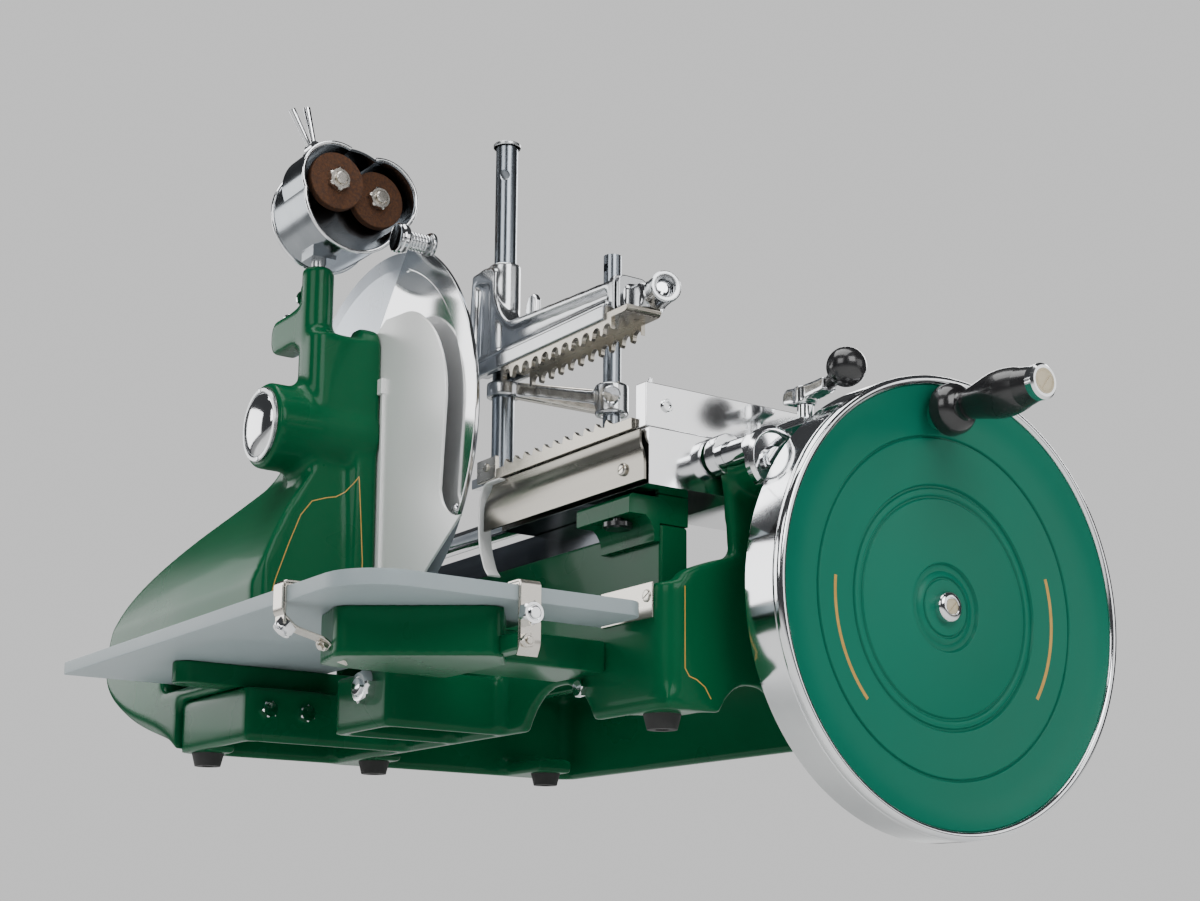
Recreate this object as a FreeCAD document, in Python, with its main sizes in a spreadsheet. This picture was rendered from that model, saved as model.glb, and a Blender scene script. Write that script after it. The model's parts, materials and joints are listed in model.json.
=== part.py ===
"""Hand crank meat slicer: cast base and column, flywheel drive, knife, carriage, jaws, sharpener.

Frame: +X towards the flywheel, +Y away from the slice tray, +Z up.  The origin lies on the plane of
the feet, at the middle of the four hold-down bolts.  All sizes are in millimetres.
"""
import FreeCAD, Part
import math
import os
import re
import Sketcher
from FreeCAD import Rotation, Vector

doc = FreeCAD.newDocument("meat_slicer")
sheet = doc.addObject("Spreadsheet::Sheet", "dims")

DIMENSIONS = {
    # cast base
    "base_left": -290, "base_right": 271, "base_front": -122, "base_rear": 165,
    "foot_height": 12, "base_height": 100, "base_wall": 9, "base_corner": 16, "deck_edge": 34,
    "rear_edge": 28,
    "foot_radius": 15, "lug_half": 20, "lug_height": 14, "arch_height": 24, "hump_height": 38,
    "hump_thick": 16, "bolt_radius": 5.5, "bolt_span": 470, "bolt_gauge": 200,
    "wing_front": -280, "wing_step": -138, "step_left": -57, "wing_right": 36, "step_front": -235,
    "wing_height": 50,
    # gooseneck column and knife housing
    "column_back": -165, "column_front": -285, "column_right": -112, "column_top": 402,
    "column_left": -483, "column_taper": 8, "boss_radius": 40, "boss_front": -268,
    "flange_thick": 24, "slot_gap": 8, "body_left": -168, "body_front": -236, "lug_left": -212,
    "socket_radius": 15, "socket_top": 460, "socket_x": -142, "socket_y": -222, "rib_reach": 24,
    # knife
    "knife_x": -155, "knife_z": 305, "knife_radius": 185, "knife_front": -148, "knife_thick": 9,
    "knife_shaft": 10, "shaft_fit": 0.05, "guard_radius": 190, "guard_band": 22, "guard_thick": 4,
    "guard_gap": 2, "deflector_thick": 3, "cap_radius": 33,
    # flywheel and crank
    "axle_y": 110, "axle_z": 105, "wheel_face": 350, "wheel_radius": 188, "rim_width": 41,
    "rim_thick": 6, "dish_depth": 15, "axle_radius": 12, "hub_radius": 30, "crank_y": -10, "crank_edge": 30,
    "pin_radius": 6, "grip_length": 97, "grip_radius": 17.5,
    # cross shaft under the carriage
    "cross_x": 30, "cross_radius": 10, "gear_radius": 44, "pinion_radius": 22, "gear_face": 8,
    "mesh_gap": 0.6, "disc_radius": 48,
    # rails and carriage
    "rail_left": -275, "rail_right": 232, "rail_y": -86, "rail_width": 28, "rail_height": 53,
    "bar_width": 20, "bar_height": 23.6, "end_stop": 6,
    "stop_length": 74, "slide_gap": 0.3, "carriage_left": 40,
    "carriage_right": 255, "carriage_front": -128, "carriage_rear": 70, "carriage_height": 45.6,
    "rod_y": -60, "rod_rise": 30.7, "rod_radius": 9.8, "collar_y": -40, "collar_drop": 7.6,
    "collar_radius": 27, "rod_reach": 42, "apron_front": -136,
    # feed table and jaws
    "table_left": -8, "table_front": -131, "table_rear": 70, "table_thick": 9, "fence_thick": 14,
    "fence_height": 36, "jaw_front": -135, "tooth_count": 11, "tooth_pitch": 15.2, "tooth_height": 6,
    "post_x": 13, "post_y": -112, "post_radius": 10, "post_height": 313, "guide_x": 82,
    "guide_y": -42, "guide_radius": 8, "guide_height": 201, "jaw_fit": 0.05, "jaw_depth": 34,
    "teeth_rise": 77.2, "arm_rise": 24, "arm_depth": 30, "sleeve_height": 96, "sleeve_radius": 14,
    "arm_right": 205, "tooth_width": 4, "link_drop": 14,
    # tray
    "tray_left": -318, "tray_right": 260, "tray_front": -384, "tray_back": -190, "tray_tab": -134,
    "tray_tab_left": 198, "tray_bottom": 82, "tray_thick": 12, "tray_corner": 46,
    "bracket_depth": 38, "support_x": -172, "support_half": 14, "support_front": -322,
    # sharpener
    "cup_front": -105, "cup_depth": 70, "cup_radius": 50, "cup_y": -206, "cup_z": 521,
    "cup_wall": 2.5, "stone_radius": 27.5, "stone_thick": 9, "stone_y": -223, "stone_z": 536.5,
    "stone_pitch": 48, "stone_drop": 3.8, "stone_ring": 36,
    # hand parts
    "ball_radius": 16, "ball_flat": 2, "ball_x": 338, "ball_gap": 5.8, "lever_x": 288, "lever_y": 4,
    "lever_rise": 33.5, "lever_tail": 20, "knob_x": -55, "knob_z": 473, "knob_radius": 13.5,
    "knob_screw": 4, "knob_reach": 29, "lock_radius": 12, "stem_radius": 7,
    "clamp_radius": 5, "deflector_left": -140, "deflector_right": 1,
}

for row, (alias, number) in enumerate(DIMENSIONS.items(), start=1):
    sheet.set(f"A{row}", alias)
    sheet.set(f"B{row}", str(number))
    sheet.setAlias(f"B{row}", alias)
doc.recompute()

AXIS_TURN = {
    "z": Rotation(),
    "x": Rotation(Vector(0, 1, 0), 90),
    "y": Rotation(Vector(1, 0, 0), -90),
    "-x": Rotation(Vector(0, 1, 0), -90),
    "-y": Rotation(Vector(1, 0, 0), 90),
    "end": Rotation(Vector(1, 1, 1), 120),
    "slant": Rotation(Vector(0, 0, 1), -15) * Rotation(Vector(0, 1, 0), 90),
    "diagonal": Rotation(Vector(0, 0, 1), -45) * Rotation(Vector(0, 1, 0), 90),
}


def named(expression):
    """The expression with each size replaced by its cell in the sheet."""
    return re.sub(r"[a-z][a-z_]+[a-z]", lambda word: "dims." + word.group()
                  if word.group() in DIMENSIONS else word.group(), str(expression))


def size(expression):
    """The present value of an expression, in millimetres."""
    return float(sheet.evalExpression(named(expression)))


def place(obj, at, axis="z"):
    """Turn an object's own Z to an axis and tie its position to the sheet."""
    obj.Placement = FreeCAD.Placement(Vector(*[size(part) for part in at]), AXIS_TURN[axis])
    for letter, part in zip("xyz", at):
        obj.setExpression(f"Placement.Base.{letter}", named(part))
    return obj


def bound(kind, name, at, axis="z", **sizes):
    """A Part primitive whose sizes and place come from the sheet."""
    obj = doc.addObject(kind, name)
    for prop, expression in sizes.items():
        obj.setExpression(prop, named(expression))
    return place(obj, at, axis)


def block(name, start, end):
    """A box between two corners."""
    spans = [f"({high}) - ({low})" for low, high in zip(start, end)]
    return bound("Part::Box", name, start, Length=spans[0], Width=spans[1], Height=spans[2])


def cylinder(name, at, axis, radius, length):
    return bound("Part::Cylinder", name, at, axis, Radius=radius, Height=length)


def cone(name, at, axis, radius, end_radius, length):
    return bound("Part::Cone", name, at, axis, Radius1=radius, Radius2=end_radius, Height=length)


def fused(name, pieces):
    whole = doc.addObject("Part::MultiFuse", name)
    whole.Shapes = pieces
    whole.Refine = True
    return whole


def cut(name, base, tool):
    left = doc.addObject("Part::Cut", name)
    left.Base = base
    left.Tool = tool if not isinstance(tool, list) else fused(name + "_tools", tool)
    return left


def body_at(name, at, axis="z"):
    return place(doc.addObject("PartDesign::Body", name), at, axis)


def flat_sketch(body, name, plane="XY_Plane"):
    sketch = body.newObject("Sketcher::SketchObject", name)
    origin_plane = [item for item in body.Origin.OriginFeatures if item.Role == plane][0]
    sketch.AttachmentSupport = [(origin_plane, "")]
    sketch.MapMode = "FlatFace"
    return sketch


def tie(sketch, kind, place_on, expression, name):
    """A dimension of a sketch that follows the sheet."""
    index = sketch.addConstraint(Sketcher.Constraint(kind, *place_on, size(expression)))
    sketch.renameConstraint(index, name)
    sketch.setExpression("Constraints." + name, named(expression))


def arc_between(start, end, radius, side):
    """The shorter arc between two points; side +1 bulges to the right of the way, -1 to the left."""
    chord = end - start
    across = Vector(-chord.y, chord.x, 0).normalize()
    half = chord.Length / 2
    centre = (start + end) / 2 + across * (math.sqrt(max(radius * radius - half * half, 0)) * side)
    middle = centre - across * (radius * side)
    return Part.Arc(start, middle, end) if side > 0 else Part.Arc(end, middle, start)


def outline(sketch, corners, tag="p"):
    """A closed outline; a corner (x, y) starts a line and (x, y, radius, side) starts an arc."""
    points = [Vector(size(corner[0]), size(corner[1]), 0) for corner in corners]
    edges = []
    for number, corner in enumerate(corners):
        start, end = points[number], points[(number + 1) % len(points)]
        if len(corner) == 4:
            index = sketch.addGeometry(arc_between(start, end, size(corner[2]), corner[3]))
            edges.append((index, 1, 2) if corner[3] > 0 else (index, 2, 1))
            tie(sketch, "Radius", (index,), corner[2], f"{tag}{number}_radius")
        else:
            index = sketch.addGeometry(Part.LineSegment(start, end))
            edges.append((index, 1, 2))
    for number, corner in enumerate(corners):
        index, first, _ = edges[number]
        before, _, last = edges[number - 1]
        sketch.addConstraint(Sketcher.Constraint("Coincident", before, last, index, first))
        tie(sketch, "DistanceX", (-1, 1, index, first), corner[0], f"{tag}{number}_x")
        tie(sketch, "DistanceY", (-1, 1, index, first), corner[1], f"{tag}{number}_y")
    return sketch


def grown(body, kind, sketch, length, name, reverse=False):
    """A pad or pocket of a sketch."""
    feature = body.newObject("PartDesign::" + kind, name)
    feature.Profile = sketch
    feature.setExpression("Length", named(length))
    feature.Reversed = reverse
    body.Tip = feature
    return feature


def padded(name, corners, depth, at, axis="z"):
    """A plate: one outline, padded along the body's own Z."""
    body = body_at(name, at, axis)
    grown(body, "Pad", outline(flat_sketch(body, name + "_outline"), corners), depth, name + "_pad")
    return body


def turned(name, corners, at, axis):
    """A turned piece: corners are (radius, height along the axis)."""
    body = body_at(name, at, axis)
    sketch = outline(flat_sketch(body, name + "_profile", "XZ_Plane"), corners)
    spin = body.newObject("PartDesign::Revolution", name + "_turn")
    spin.Profile = sketch
    spin.ReferenceAxis = (sketch, ["V_Axis"])
    spin.Angle = 360
    body.Tip = spin
    return body


def dome(half, height):
    """The radius of a shallow dome from its half width and height."""
    return f"(({half}) ^ 2 + ({height}) ^ 2) / (2 * ({height}))"


def patterned(body, original, sketch, direction, span, count, name):
    """Copies of a feature in a row."""
    pattern = body.newObject("PartDesign::LinearPattern", name)
    pattern.Originals = [original]
    pattern.Direction = (sketch, [direction])
    pattern.setExpression("Length", named(span))
    pattern.setExpression("Occurrences", named(count))
    body.Tip = pattern
    return pattern


nodes = {}


def node(name, obj):
    obj.Label = name
    nodes[name] = obj
    return obj


# ---------------------------------------------------------------- cast base

BASE_TOP = "foot_height + base_height"
RAIL_TOP = BASE_TOP + " + rail_height"
BAR_TOP = RAIL_TOP + " + bar_height"
CARRIAGE_BOTTOM = BAR_TOP + " + slide_gap"
CARRIAGE_TOP = CARRIAGE_BOTTOM + " + carriage_height"
ROD_Z = CARRIAGE_BOTTOM + " + rod_rise"
ROD_END = "carriage_right + rod_reach"
COLLAR_Z = ROD_Z + " - collar_drop"


def rounded_block(body, name, start, end, corner, height, kind="Pad", reverse=False):
    """A rectangle with rounded corners, padded or pocketed."""
    (left, front), (right, rear) = start, end
    near, far = f"({left}) + ({corner})", f"({right}) - ({corner})"
    low, high = f"({front}) + ({corner})", f"({rear}) - ({corner})"
    corners = [(near, front), (far, front, corner, 1), (right, low), (right, high, corner, 1),
               (far, rear), (near, rear, corner, 1), (left, high), (left, low, corner, 1)]
    return grown(body, kind, outline(flat_sketch(body, name + "_outline"), corners), height, name,
                 reverse)


FOOT_PLACES = [
    ("-bolt_span / 2", "-bolt_gauge / 2"), ("bolt_span / 2", "-bolt_gauge / 2"),
    ("-bolt_span / 2", "bolt_gauge / 2"), ("bolt_span / 2", "bolt_gauge / 2"),
    ("base_left + 5 + lug_half", "wing_front + lug_half"),
]


def rod_stand(name, left, middle, top, radius, thick):
    """An upright with a round head."""
    return padded(name, [
        (f"{middle} - 12", BASE_TOP + " - 1"), (f"{middle} + 12", BASE_TOP + " - 1"),
        (f"{middle} + {radius}", top, radius, 1), (middle, f"{top} + {radius}", radius, 1),
        (f"{middle} - ({radius})", top),
    ], thick, (left, "0", "0"), "end")


def build_base():
    """Open-bottomed casting: walls, a deck with an opening, the side wing and the axle hump."""
    shell = body_at("base_shell", ("0", "0", "foot_height"))
    rounded_block(shell, "shell_pad", ("base_left", "base_front"), ("base_right", "base_rear"),
                  "base_corner", "base_height")
    rounded_block(shell, "shell_hollow", ("base_left + base_wall", "base_front + base_wall"),
                  ("base_right - base_wall", "base_rear - base_wall"), "base_corner - base_wall",
                  "base_height - base_wall", "Pocket", True)
    rounded_block(shell, "deck_opening", ("base_left + deck_edge", "rail_y + rail_width"),
                  ("base_right - deck_edge", "base_rear - rear_edge"), "base_corner",
                  "base_height + base_wall", "Pocket", True)
    hump = padded("axle_hump", [
        ("base_front + base_corner", BASE_TOP + " - base_wall"),
        ("base_rear - base_corner", BASE_TOP + " - base_wall"),
        ("base_rear - base_corner", "axle_z + hump_height - 10", "10", 1),
        ("base_rear - base_corner - 10", "axle_z + hump_height"),
        ("axle_y - 120", "axle_z + hump_height", "240", 1),
        ("base_front + base_corner", BASE_TOP + " + 8"),
    ], "hump_thick", ("base_right - hump_thick", "0", "0"), "end")
    beam = block("gear_beam", ("base_left + deck_edge - 1", "axle_y - 56", BASE_TOP + " - 30"),
                 ("base_right - deck_edge + 1", "axle_y - 40", BASE_TOP))
    journal = cylinder("gear_journal", ("cross_x", "axle_y - 60", "axle_z"), "y", "cross_radius + 12",
                       "24")
    bearing = cylinder("axle_boss", ("base_right - 30", "axle_y", "axle_z"), "x", "axle_radius + 14",
                       "38")
    wing = block("wing_block", ("base_left + 5", "wing_front", "foot_height"),
                 ("wing_step", "base_front + 1", "foot_height + wing_height"))
    step = block("wing_step_block", ("step_left", "step_front", "foot_height"),
                 ("wing_right", "base_front + 1", "foot_height + wing_height"))
    stands = [
        rod_stand("left_stand", "rail_left - 13", "rod_y", ROD_Z, "rod_radius + 6", "12"),
        rod_stand("right_stand", "carriage_right + 3", "collar_y", COLLAR_Z, "collar_radius - 5", "12"),
        cylinder("rod_lug", ("carriage_right + 3", "rod_y", ROD_Z), "x", "rod_radius + 5", "12"),
        cylinder("collar_boss", ("carriage_right + 3", "collar_y", COLLAR_Z), "x", "collar_radius - 5",
                 "rod_reach - 3"),
    ]
    body = fused("base_sum", [shell, hump, bearing, beam, journal, wing, step] + stands)
    tools = [
        cylinder("axle_bore", ("base_right - 40", "axle_y", "axle_z"), "x", "axle_radius + shaft_fit",
                 "60"),
        block("wing_hollow", ("base_left + 5 + base_wall", "wing_front + base_wall", "foot_height - 1"),
              ("wing_step - base_wall", "base_front", "foot_height + wing_height - base_wall")),
        block("step_hollow", ("step_left + base_wall", "step_front + base_wall", "foot_height - 1"),
              ("wing_right - base_wall", "base_front", "foot_height + wing_height - base_wall")),
        cylinder("end_arch", ("base_right - 20", "base_front + 84", "foot_height - 8"), "x",
                 "arch_height + 8", "30"),
        cylinder("front_arch", ("120", "base_front - 10", "foot_height - 20"), "y", "arch_height + 30",
                 "30"),
        cylinder("journal_bore", ("cross_x", "axle_y - 70", "axle_z"), "y", "cross_radius + shaft_fit",
                 "50"),
        cylinder("rod_bore", ("rail_left - 20", "rod_y", ROD_Z), "x", "rod_radius",
                 f"{ROD_END} - rail_left + 40"),
    ]
    hollowed = cut("base_hollowed", body, tools)
    lugs = [block("wing_lug", (FOOT_PLACES[-1][0] + " - lug_half", FOOT_PLACES[-1][1] + " - lug_half",
                               "foot_height"),
                  (FOOT_PLACES[-1][0] + " + lug_half", FOOT_PLACES[-1][1] + " + lug_half",
                   "foot_height + lug_height"))]
    for number, (x, y) in enumerate(FOOT_PLACES[:4]):
        low, high = (f"{x} - lug_half", "base_right - 1") if number % 2 else (
            "base_left + 1", f"{x} + lug_half")
        lugs.append(block(f"bolt_lug_{number}", (low, f"{y} - lug_half", "foot_height"),
                          (high, f"{y} + lug_half", "foot_height + lug_height")))
    holes = [cylinder(f"bolt_hole_{number}", (x, y, "foot_height - 1"), "z", "bolt_radius",
                      "lug_height + 2") for number, (x, y) in enumerate(FOOT_PLACES[:4])]
    return cut("base_casting_cut", fused("base_with_lugs", [hollowed] + lugs), holes)


node("base_casting", build_base())

for number, (foot_x, foot_y) in enumerate(FOOT_PLACES, start=1):
    pad = cone(f"foot_pad_{number}", (foot_x, foot_y, "0"), "z", "foot_radius - 3", "foot_radius",
               "foot_height")
    node(f"foot_{number}", cut(f"foot_ring_{number}", pad, cylinder(
        f"foot_hole_{number}", (foot_x, foot_y, "-1"), "z", "bolt_radius", "foot_height + 2")))


# ---------------------------------------------------------------- column

WING_TOP = "foot_height + wing_height"
WING_LEFT = "base_left + 5"
SHOULDER = [
    # (share of the way out to column_left, share of the way up to the knife shaft)
    (0.0, 0.93), (0.24, 0.825), (0.65, 0.70), (0.97, 0.49), (1.0, 0.33), (0.90, 0.24), (0.45, 0.095),
]


def column_section(depth, inset, right, right_low):
    """The column's outline at one depth, with its curved shoulder drawn as a spline."""
    out, up = size("knife_x - boss_radius"), size("knife_z")
    reach = size("column_left") - out
    middle = Vector(out + 0.5 * reach, depth, 0.5 * up)
    points = []
    for across, height in SHOULDER:
        point = Vector(out + across * reach, depth, height * up)
        points.append(point + (middle - point).normalize() * inset)
    points.append(Vector(size(WING_LEFT), depth, size("foot_height + 3")))
    spline = Part.BSplineCurve()
    spline.interpolate(points)
    corners = [points[-1], Vector(points[-1].x, depth, size(WING_TOP)),
               Vector(right_low, depth, size(WING_TOP)), Vector(right, depth, up),
               Vector(points[0].x, depth, up), points[0]]
    edges = [spline.toShape()]
    edges += [Part.makeLine(first, second) for first, second in zip(corners, corners[1:])]
    return Part.Wire(edges)


def build_column():
    """The gooseneck: tapered shoulder, flange, knife boss, upper body, ear, lug and socket."""
    right = size("column_right")
    flange = Part.Face(column_section(size("column_back"), 4, right - 8, right - 8))
    flange = flange.extrude(Vector(0, -size("flange_thick"), 0))
    levels = [
        column_section(size("column_back - flange_thick"), 4, right - 18, right - 12),
        column_section(size("column_front + 40"), -size("column_taper") / 2, right - 16, right - 8),
        column_section(size("column_front + 10"), 0, right - 14, right - 4),
        column_section(size("column_front"), size("column_taper"), right - 22, right - 14),
    ]
    shell = doc.addObject("Part::Feature", "column_shell")
    shell.Shape = flange.multiFuse([Part.makeLoft(list(pair), True, True)
                                    for pair in zip(levels, levels[1:])])
    shoulder = cut("column_shoulder", shell, padded("front_flare", [
        ("column_front - 5", "knife_z / 2"), ("column_front", "knife_z / 2", "420", -1),
        ("column_front + 58", "knife_z - 40"), ("column_front + 64", "knife_z + 20"),
        ("column_front - 5", "knife_z + 20"),
    ], "400", ("column_left - 20", "0", "0"), "end"))
    boss = cylinder("knife_boss", ("knife_x", "column_back", "knife_z"), "-y", "boss_radius",
                    "column_back - boss_front")
    upper = padded("upper_body", [
        ("body_left - 12", "column_back"), ("body_left", "body_front + 24", "24", 1),
        ("body_left + 24", "body_front"), ("column_right - 18", "body_front", "12", 1),
        ("column_right - 6", "body_front + 12"), ("column_right - 6", "column_back"),
    ], "column_top - 8 - knife_z", ("0", "0", "knife_z"))
    ear = padded("flange_ear", [
        ("column_right - 54", "knife_z - 40"), ("column_right - 8", "knife_z - 40"),
        ("column_right - 8", "column_top - 8", "14", 1), ("column_right - 22", "column_top + 6"),
        ("column_right - 34", "column_top + 6", "20", -1), ("column_right - 54", "column_top - 12"),
    ], "flange_thick - 4", ("0", "column_back", "0"), "-y")
    lug_low, lug_high = "column_top - 12", "column_top + 22"
    lug = padded("spring_lug", [
        ("lug_left + 12", lug_low), ("column_right - 26", lug_low),
        ("column_right - 26", lug_high + " - 10"),
        ("socket_x", lug_high), ("lug_left + 12", lug_high, "12", 1), ("lug_left", lug_high + " - 12"),
        ("lug_left", lug_low + " + 12", "12", 1),
    ], "24", ("0", "socket_y + 9", "0"), "-y")
    socket = cylinder("socket_post", ("socket_x", "socket_y", "column_top - 14"), "z",
                      "socket_radius", "socket_top - column_top + 14")
    rib = padded("socket_rib", [
        ("socket_y + 8", "socket_top - 34"), ("socket_y + 8", "socket_top - 14", "8", 1),
        ("socket_y", "socket_top - 6", "8", 1), ("socket_y - 8", "socket_top - 14"),
        ("socket_y - 8", "socket_top - 34", "8", 1), ("socket_y", "socket_top - 42", "8", 1),
    ], "rib_reach", ("socket_x - rib_reach", "0", "0"), "end")
    body = fused("column_sum", [shoulder, boss, upper, ear, lug, socket, rib])
    tools = [
        cylinder("knife_bore", ("knife_x", "column_back + 1", "knife_z"), "-y",
                 "knife_shaft + shaft_fit", "column_back - boss_front - 5"),
        block("tray_slot", ("tray_left - slot_gap", "column_front - 20", "tray_bottom - slot_gap"),
              ("column_right + 1", "column_back + 1", "tray_bottom + tray_thick + 2 * slot_gap")),
        block("foot_trim", ("wing_step - 52", "column_front - 20", "0"),
              ("column_right + 1", "column_back + 1", "tray_bottom")),
        cylinder("socket_bore", ("socket_x", "socket_y", "column_top - 4"), "z",
                 "stem_radius + shaft_fit", "socket_top"),
        cylinder("clamp_bore", ("socket_x", "socket_y", "socket_top - 22"), "-x",
                 "clamp_radius + shaft_fit", "60"),
    ]
    return cut("column_casting_cut", body, tools)


node("column_casting", build_column())

node("knife_cap", turned("knife_cap_body", [
    ("0", "0"), ("cap_radius", "0"), ("cap_radius", "3"), ("cap_radius - 5", "5"),
    ("cap_radius - 8", "5", dome("cap_radius - 8", "5.5"), 1), ("0", "10.5"),
], ("knife_x", "boss_front", "knife_z"), "-y"))

# ---------------------------------------------------------------- knife, guard and deflector

node("knife", turned("knife_body", [
    ("knife_shaft", "0"), ("42", "0"), ("48", "3.5"), ("knife_radius - 20", "4.5"),
    ("knife_radius - 0.5", "knife_thick - 1.6"), ("knife_radius", "knife_thick - 1"),
    ("knife_radius - 16", "knife_thick"), ("knife_shaft", "knife_thick"),
], ("knife_x", "knife_front + knife_thick", "knife_z"), "-y"))

node("knife_shaft_rod", cylinder("knife_axle", ("knife_x", "knife_front + knife_thick", "knife_z"),
                                 "-y", "knife_shaft", "knife_front + knife_thick - boss_front - 8"))


def polar(radius, angle):
    """A point on a circle round the knife shaft."""
    return f"knife_x + ({radius}) * cos({angle})", f"knife_z + ({radius}) * sin({angle})"


GUARD_BACK = "knife_front - guard_gap"


def build_guard():
    """Half-moon plate in front of the knife with a raised band along its edge."""
    low, high = polar("guard_radius", -32), polar("guard_radius", 72)
    plate = padded("guard_plate", [
        (*low, "guard_radius", 1), high, ("knife_x + 2", "knife_z + 108"),
        ("knife_x + 30", "knife_z + 90"), ("knife_x + 30", "knife_z - 90"),
    ], "guard_thick - 2", ("0", GUARD_BACK, "0"), "-y")
    inner = "guard_radius - guard_band"
    inner_low, inner_high = polar(inner, -30), polar(inner, 68)
    band = padded("guard_band_pad", [
        (*low, "guard_radius", 1), high, (*inner_high, inner, -1), inner_low,
    ], "guard_thick", ("0", GUARD_BACK, "0"), "-y")
    lug = cylinder("guard_lug", ("knob_x", GUARD_BACK, "knob_z"), "-y", "knob_radius - 2", "guard_thick")
    return cut("guard_holed", fused("guard_sum", [plate, band, lug]),
               cylinder("guard_hole", ("knob_x", GUARD_BACK + " + 1", "knob_z"), "-y",
                        "knob_screw + shaft_fit", "guard_thick + 2"))


node("knife_guard", build_guard())

DEFLECTOR_BACK = "column_back + deflector_thick"
node("guard_stay", block("guard_stay_bar", ("knife_x + 60", DEFLECTOR_BACK, "knife_z - 120"),
                         ("knife_x + 74", GUARD_BACK + " - guard_thick + 2", "knife_z - 20")))

node("deflector", padded("deflector_body", [
    ("deflector_left", "tray_bottom + 34"), ("deflector_left + 80", "tray_bottom + 34"),
    ("deflector_right - 29", "knife_z - 143"), ("deflector_right + 30", "knife_z - 104", "36", -1),
    ("deflector_right - 7", "knife_z - 74"), ("deflector_right", "knife_z + 6", "100", 1),
    ("deflector_right - 44", "knife_z + 94", "60", 1), ("deflector_right - 76", "knife_z + 107"),
    ("deflector_right - 114", "knife_z + 110"), ("deflector_left", "knife_z + 96"),
], "deflector_thick", ("0", DEFLECTOR_BACK, "0"), "-y"))

# ---------------------------------------------------------------- flywheel

RIM_INNER = "wheel_radius - rim_thick"
WHEEL_BACK = "wheel_face - rim_width"
DISH_TOP = "rim_width - dish_depth"

node("flywheel_rim", turned("flywheel_rim_body", [
    (RIM_INNER, "0"), ("wheel_radius - 2", "0", "2", 1), ("wheel_radius", "2"),
    ("wheel_radius", "rim_width - 7"), ("wheel_radius - 1", "rim_width - 6"),
    ("wheel_radius", "rim_width - 5"), ("wheel_radius", "rim_width - 2", "4", 1),
    ("wheel_radius - 4", "rim_width + 1.5"), ("wheel_radius - 8", "rim_width + 0.5"),
    ("wheel_radius - 8", "rim_width - 5"), (RIM_INNER, "rim_width - 7"),
], (WHEEL_BACK, "axle_y", "axle_z"), "x"))

disc_web = turned("flywheel_disc_body", [
    ("axle_radius", "0"), ("hub_radius - 2", "0"), ("hub_radius", "2"), ("hub_radius", "rim_width - 27"),
    ("hub_radius + 30", "rim_width - 22"), ("wheel_radius - 40", "rim_width - 22"),
    (RIM_INNER, "rim_width - 17"), (RIM_INNER, "rim_width - 7"), ("wheel_radius - 8", "rim_width - 5"),
    ("wheel_radius - 8", "rim_width - 1.5"), ("wheel_radius - 22", "rim_width - 7"),
    ("142", "rim_width - 10.5"), ("140", "rim_width - 12"), ("138", "rim_width - 10.8"),
    ("105", "rim_width - 14.4"), ("103", "rim_width - 16"), ("95", "rim_width - 16"),
    ("93", DISH_TOP), ("36", DISH_TOP), ("33", DISH_TOP + " - 2"), ("30", DISH_TOP + " - 2"),
    ("28", DISH_TOP), ("axle_radius", DISH_TOP),
], (WHEEL_BACK, "axle_y", "axle_z"), "x")
CRANK_Y, CRANK_Z = "axle_y + crank_y", "axle_z + wheel_radius - crank_edge"
node("flywheel_disc", fused("flywheel_disc_sum", [disc_web, cylinder(
    "crank_seat", ("wheel_face - 12", CRANK_Y, CRANK_Z), "x", "13", "11")]))

MESH_X = "cross_x + gear_radius"
node("flywheel_axle", cylinder("axle_rod", (MESH_X, "axle_y", "axle_z"), "x", "axle_radius",
                               "wheel_face - dish_depth - cross_x - gear_radius"))
node("hub_cap", turned("hub_cap_body", [
    ("0", "0"), ("axle_radius + 1", "0"), ("axle_radius + 1", "5"), ("axle_radius - 1", "8"),
    ("axle_radius - 3", "8", dome("axle_radius - 3", "1"), 1), ("0", "9"),
], ("wheel_face - dish_depth", "axle_y", "axle_z"), "x"))

node("crank_pin", turned("crank_pin_body", [
    ("0", "0"), ("11", "0"), ("11", "1"), ("pin_radius", "1"), ("pin_radius", "grip_length + 1.6"),
    ("grip_radius - 3.5", "grip_length + 1.6"), ("grip_radius - 3", "grip_length + 8"),
    ("grip_radius - 5", "grip_length + 10"), ("0", "grip_length + 10"),
], ("wheel_face - 1", CRANK_Y, CRANK_Z), "x"))
node("crank_grip", turned("crank_grip_body", [
    ("pin_radius + shaft_fit", "0"), ("grip_radius + 2", "0", "6", 1), ("grip_radius + 4", "5"),
    ("grip_radius + 3.5", "12", "14", 1), ("12.5", "21", "10", -1), ("12.5", "28"),
    ("grip_radius - 0.5", "48", "60", 1), ("grip_radius - 1.5", "84"),
    ("grip_radius - 4", "grip_length"), ("pin_radius + shaft_fit", "grip_length"),
], ("wheel_face + 0.3", CRANK_Y, CRANK_Z), "x"))

# ---------------------------------------------------------------- bevel gears and cross shaft

node("bevel_pinion", cone("pinion_cone", (MESH_X, "axle_y", "axle_z"), "-x",
                          "pinion_radius - mesh_gap", "pinion_radius - mesh_gap - gear_face",
                          "2 * gear_face"))
GEAR_Y = "axle_y - pinion_radius"
node("bevel_gear", cone("gear_cone", ("cross_x", GEAR_Y, "axle_z"), "y",
                        "gear_radius - mesh_gap", "gear_radius - mesh_gap - 2 * gear_face", "gear_face"))
node("cross_shaft", cylinder("cross_rod", ("cross_x", GEAR_Y, "axle_z"), "-y", "cross_radius", "60"))
node("crank_disc", fused("crank_disc_sum", [
    cylinder("crank_disc_plate", ("cross_x", GEAR_Y + " - 60", "axle_z"), "-y", "disc_radius", "8"),
    cylinder("crank_disc_pin", ("cross_x", GEAR_Y + " - 68", "axle_z + disc_radius - 12"), "-y", "7",
             "18"),
]))

# ---------------------------------------------------------------- rails, guide rod, stop block

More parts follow.
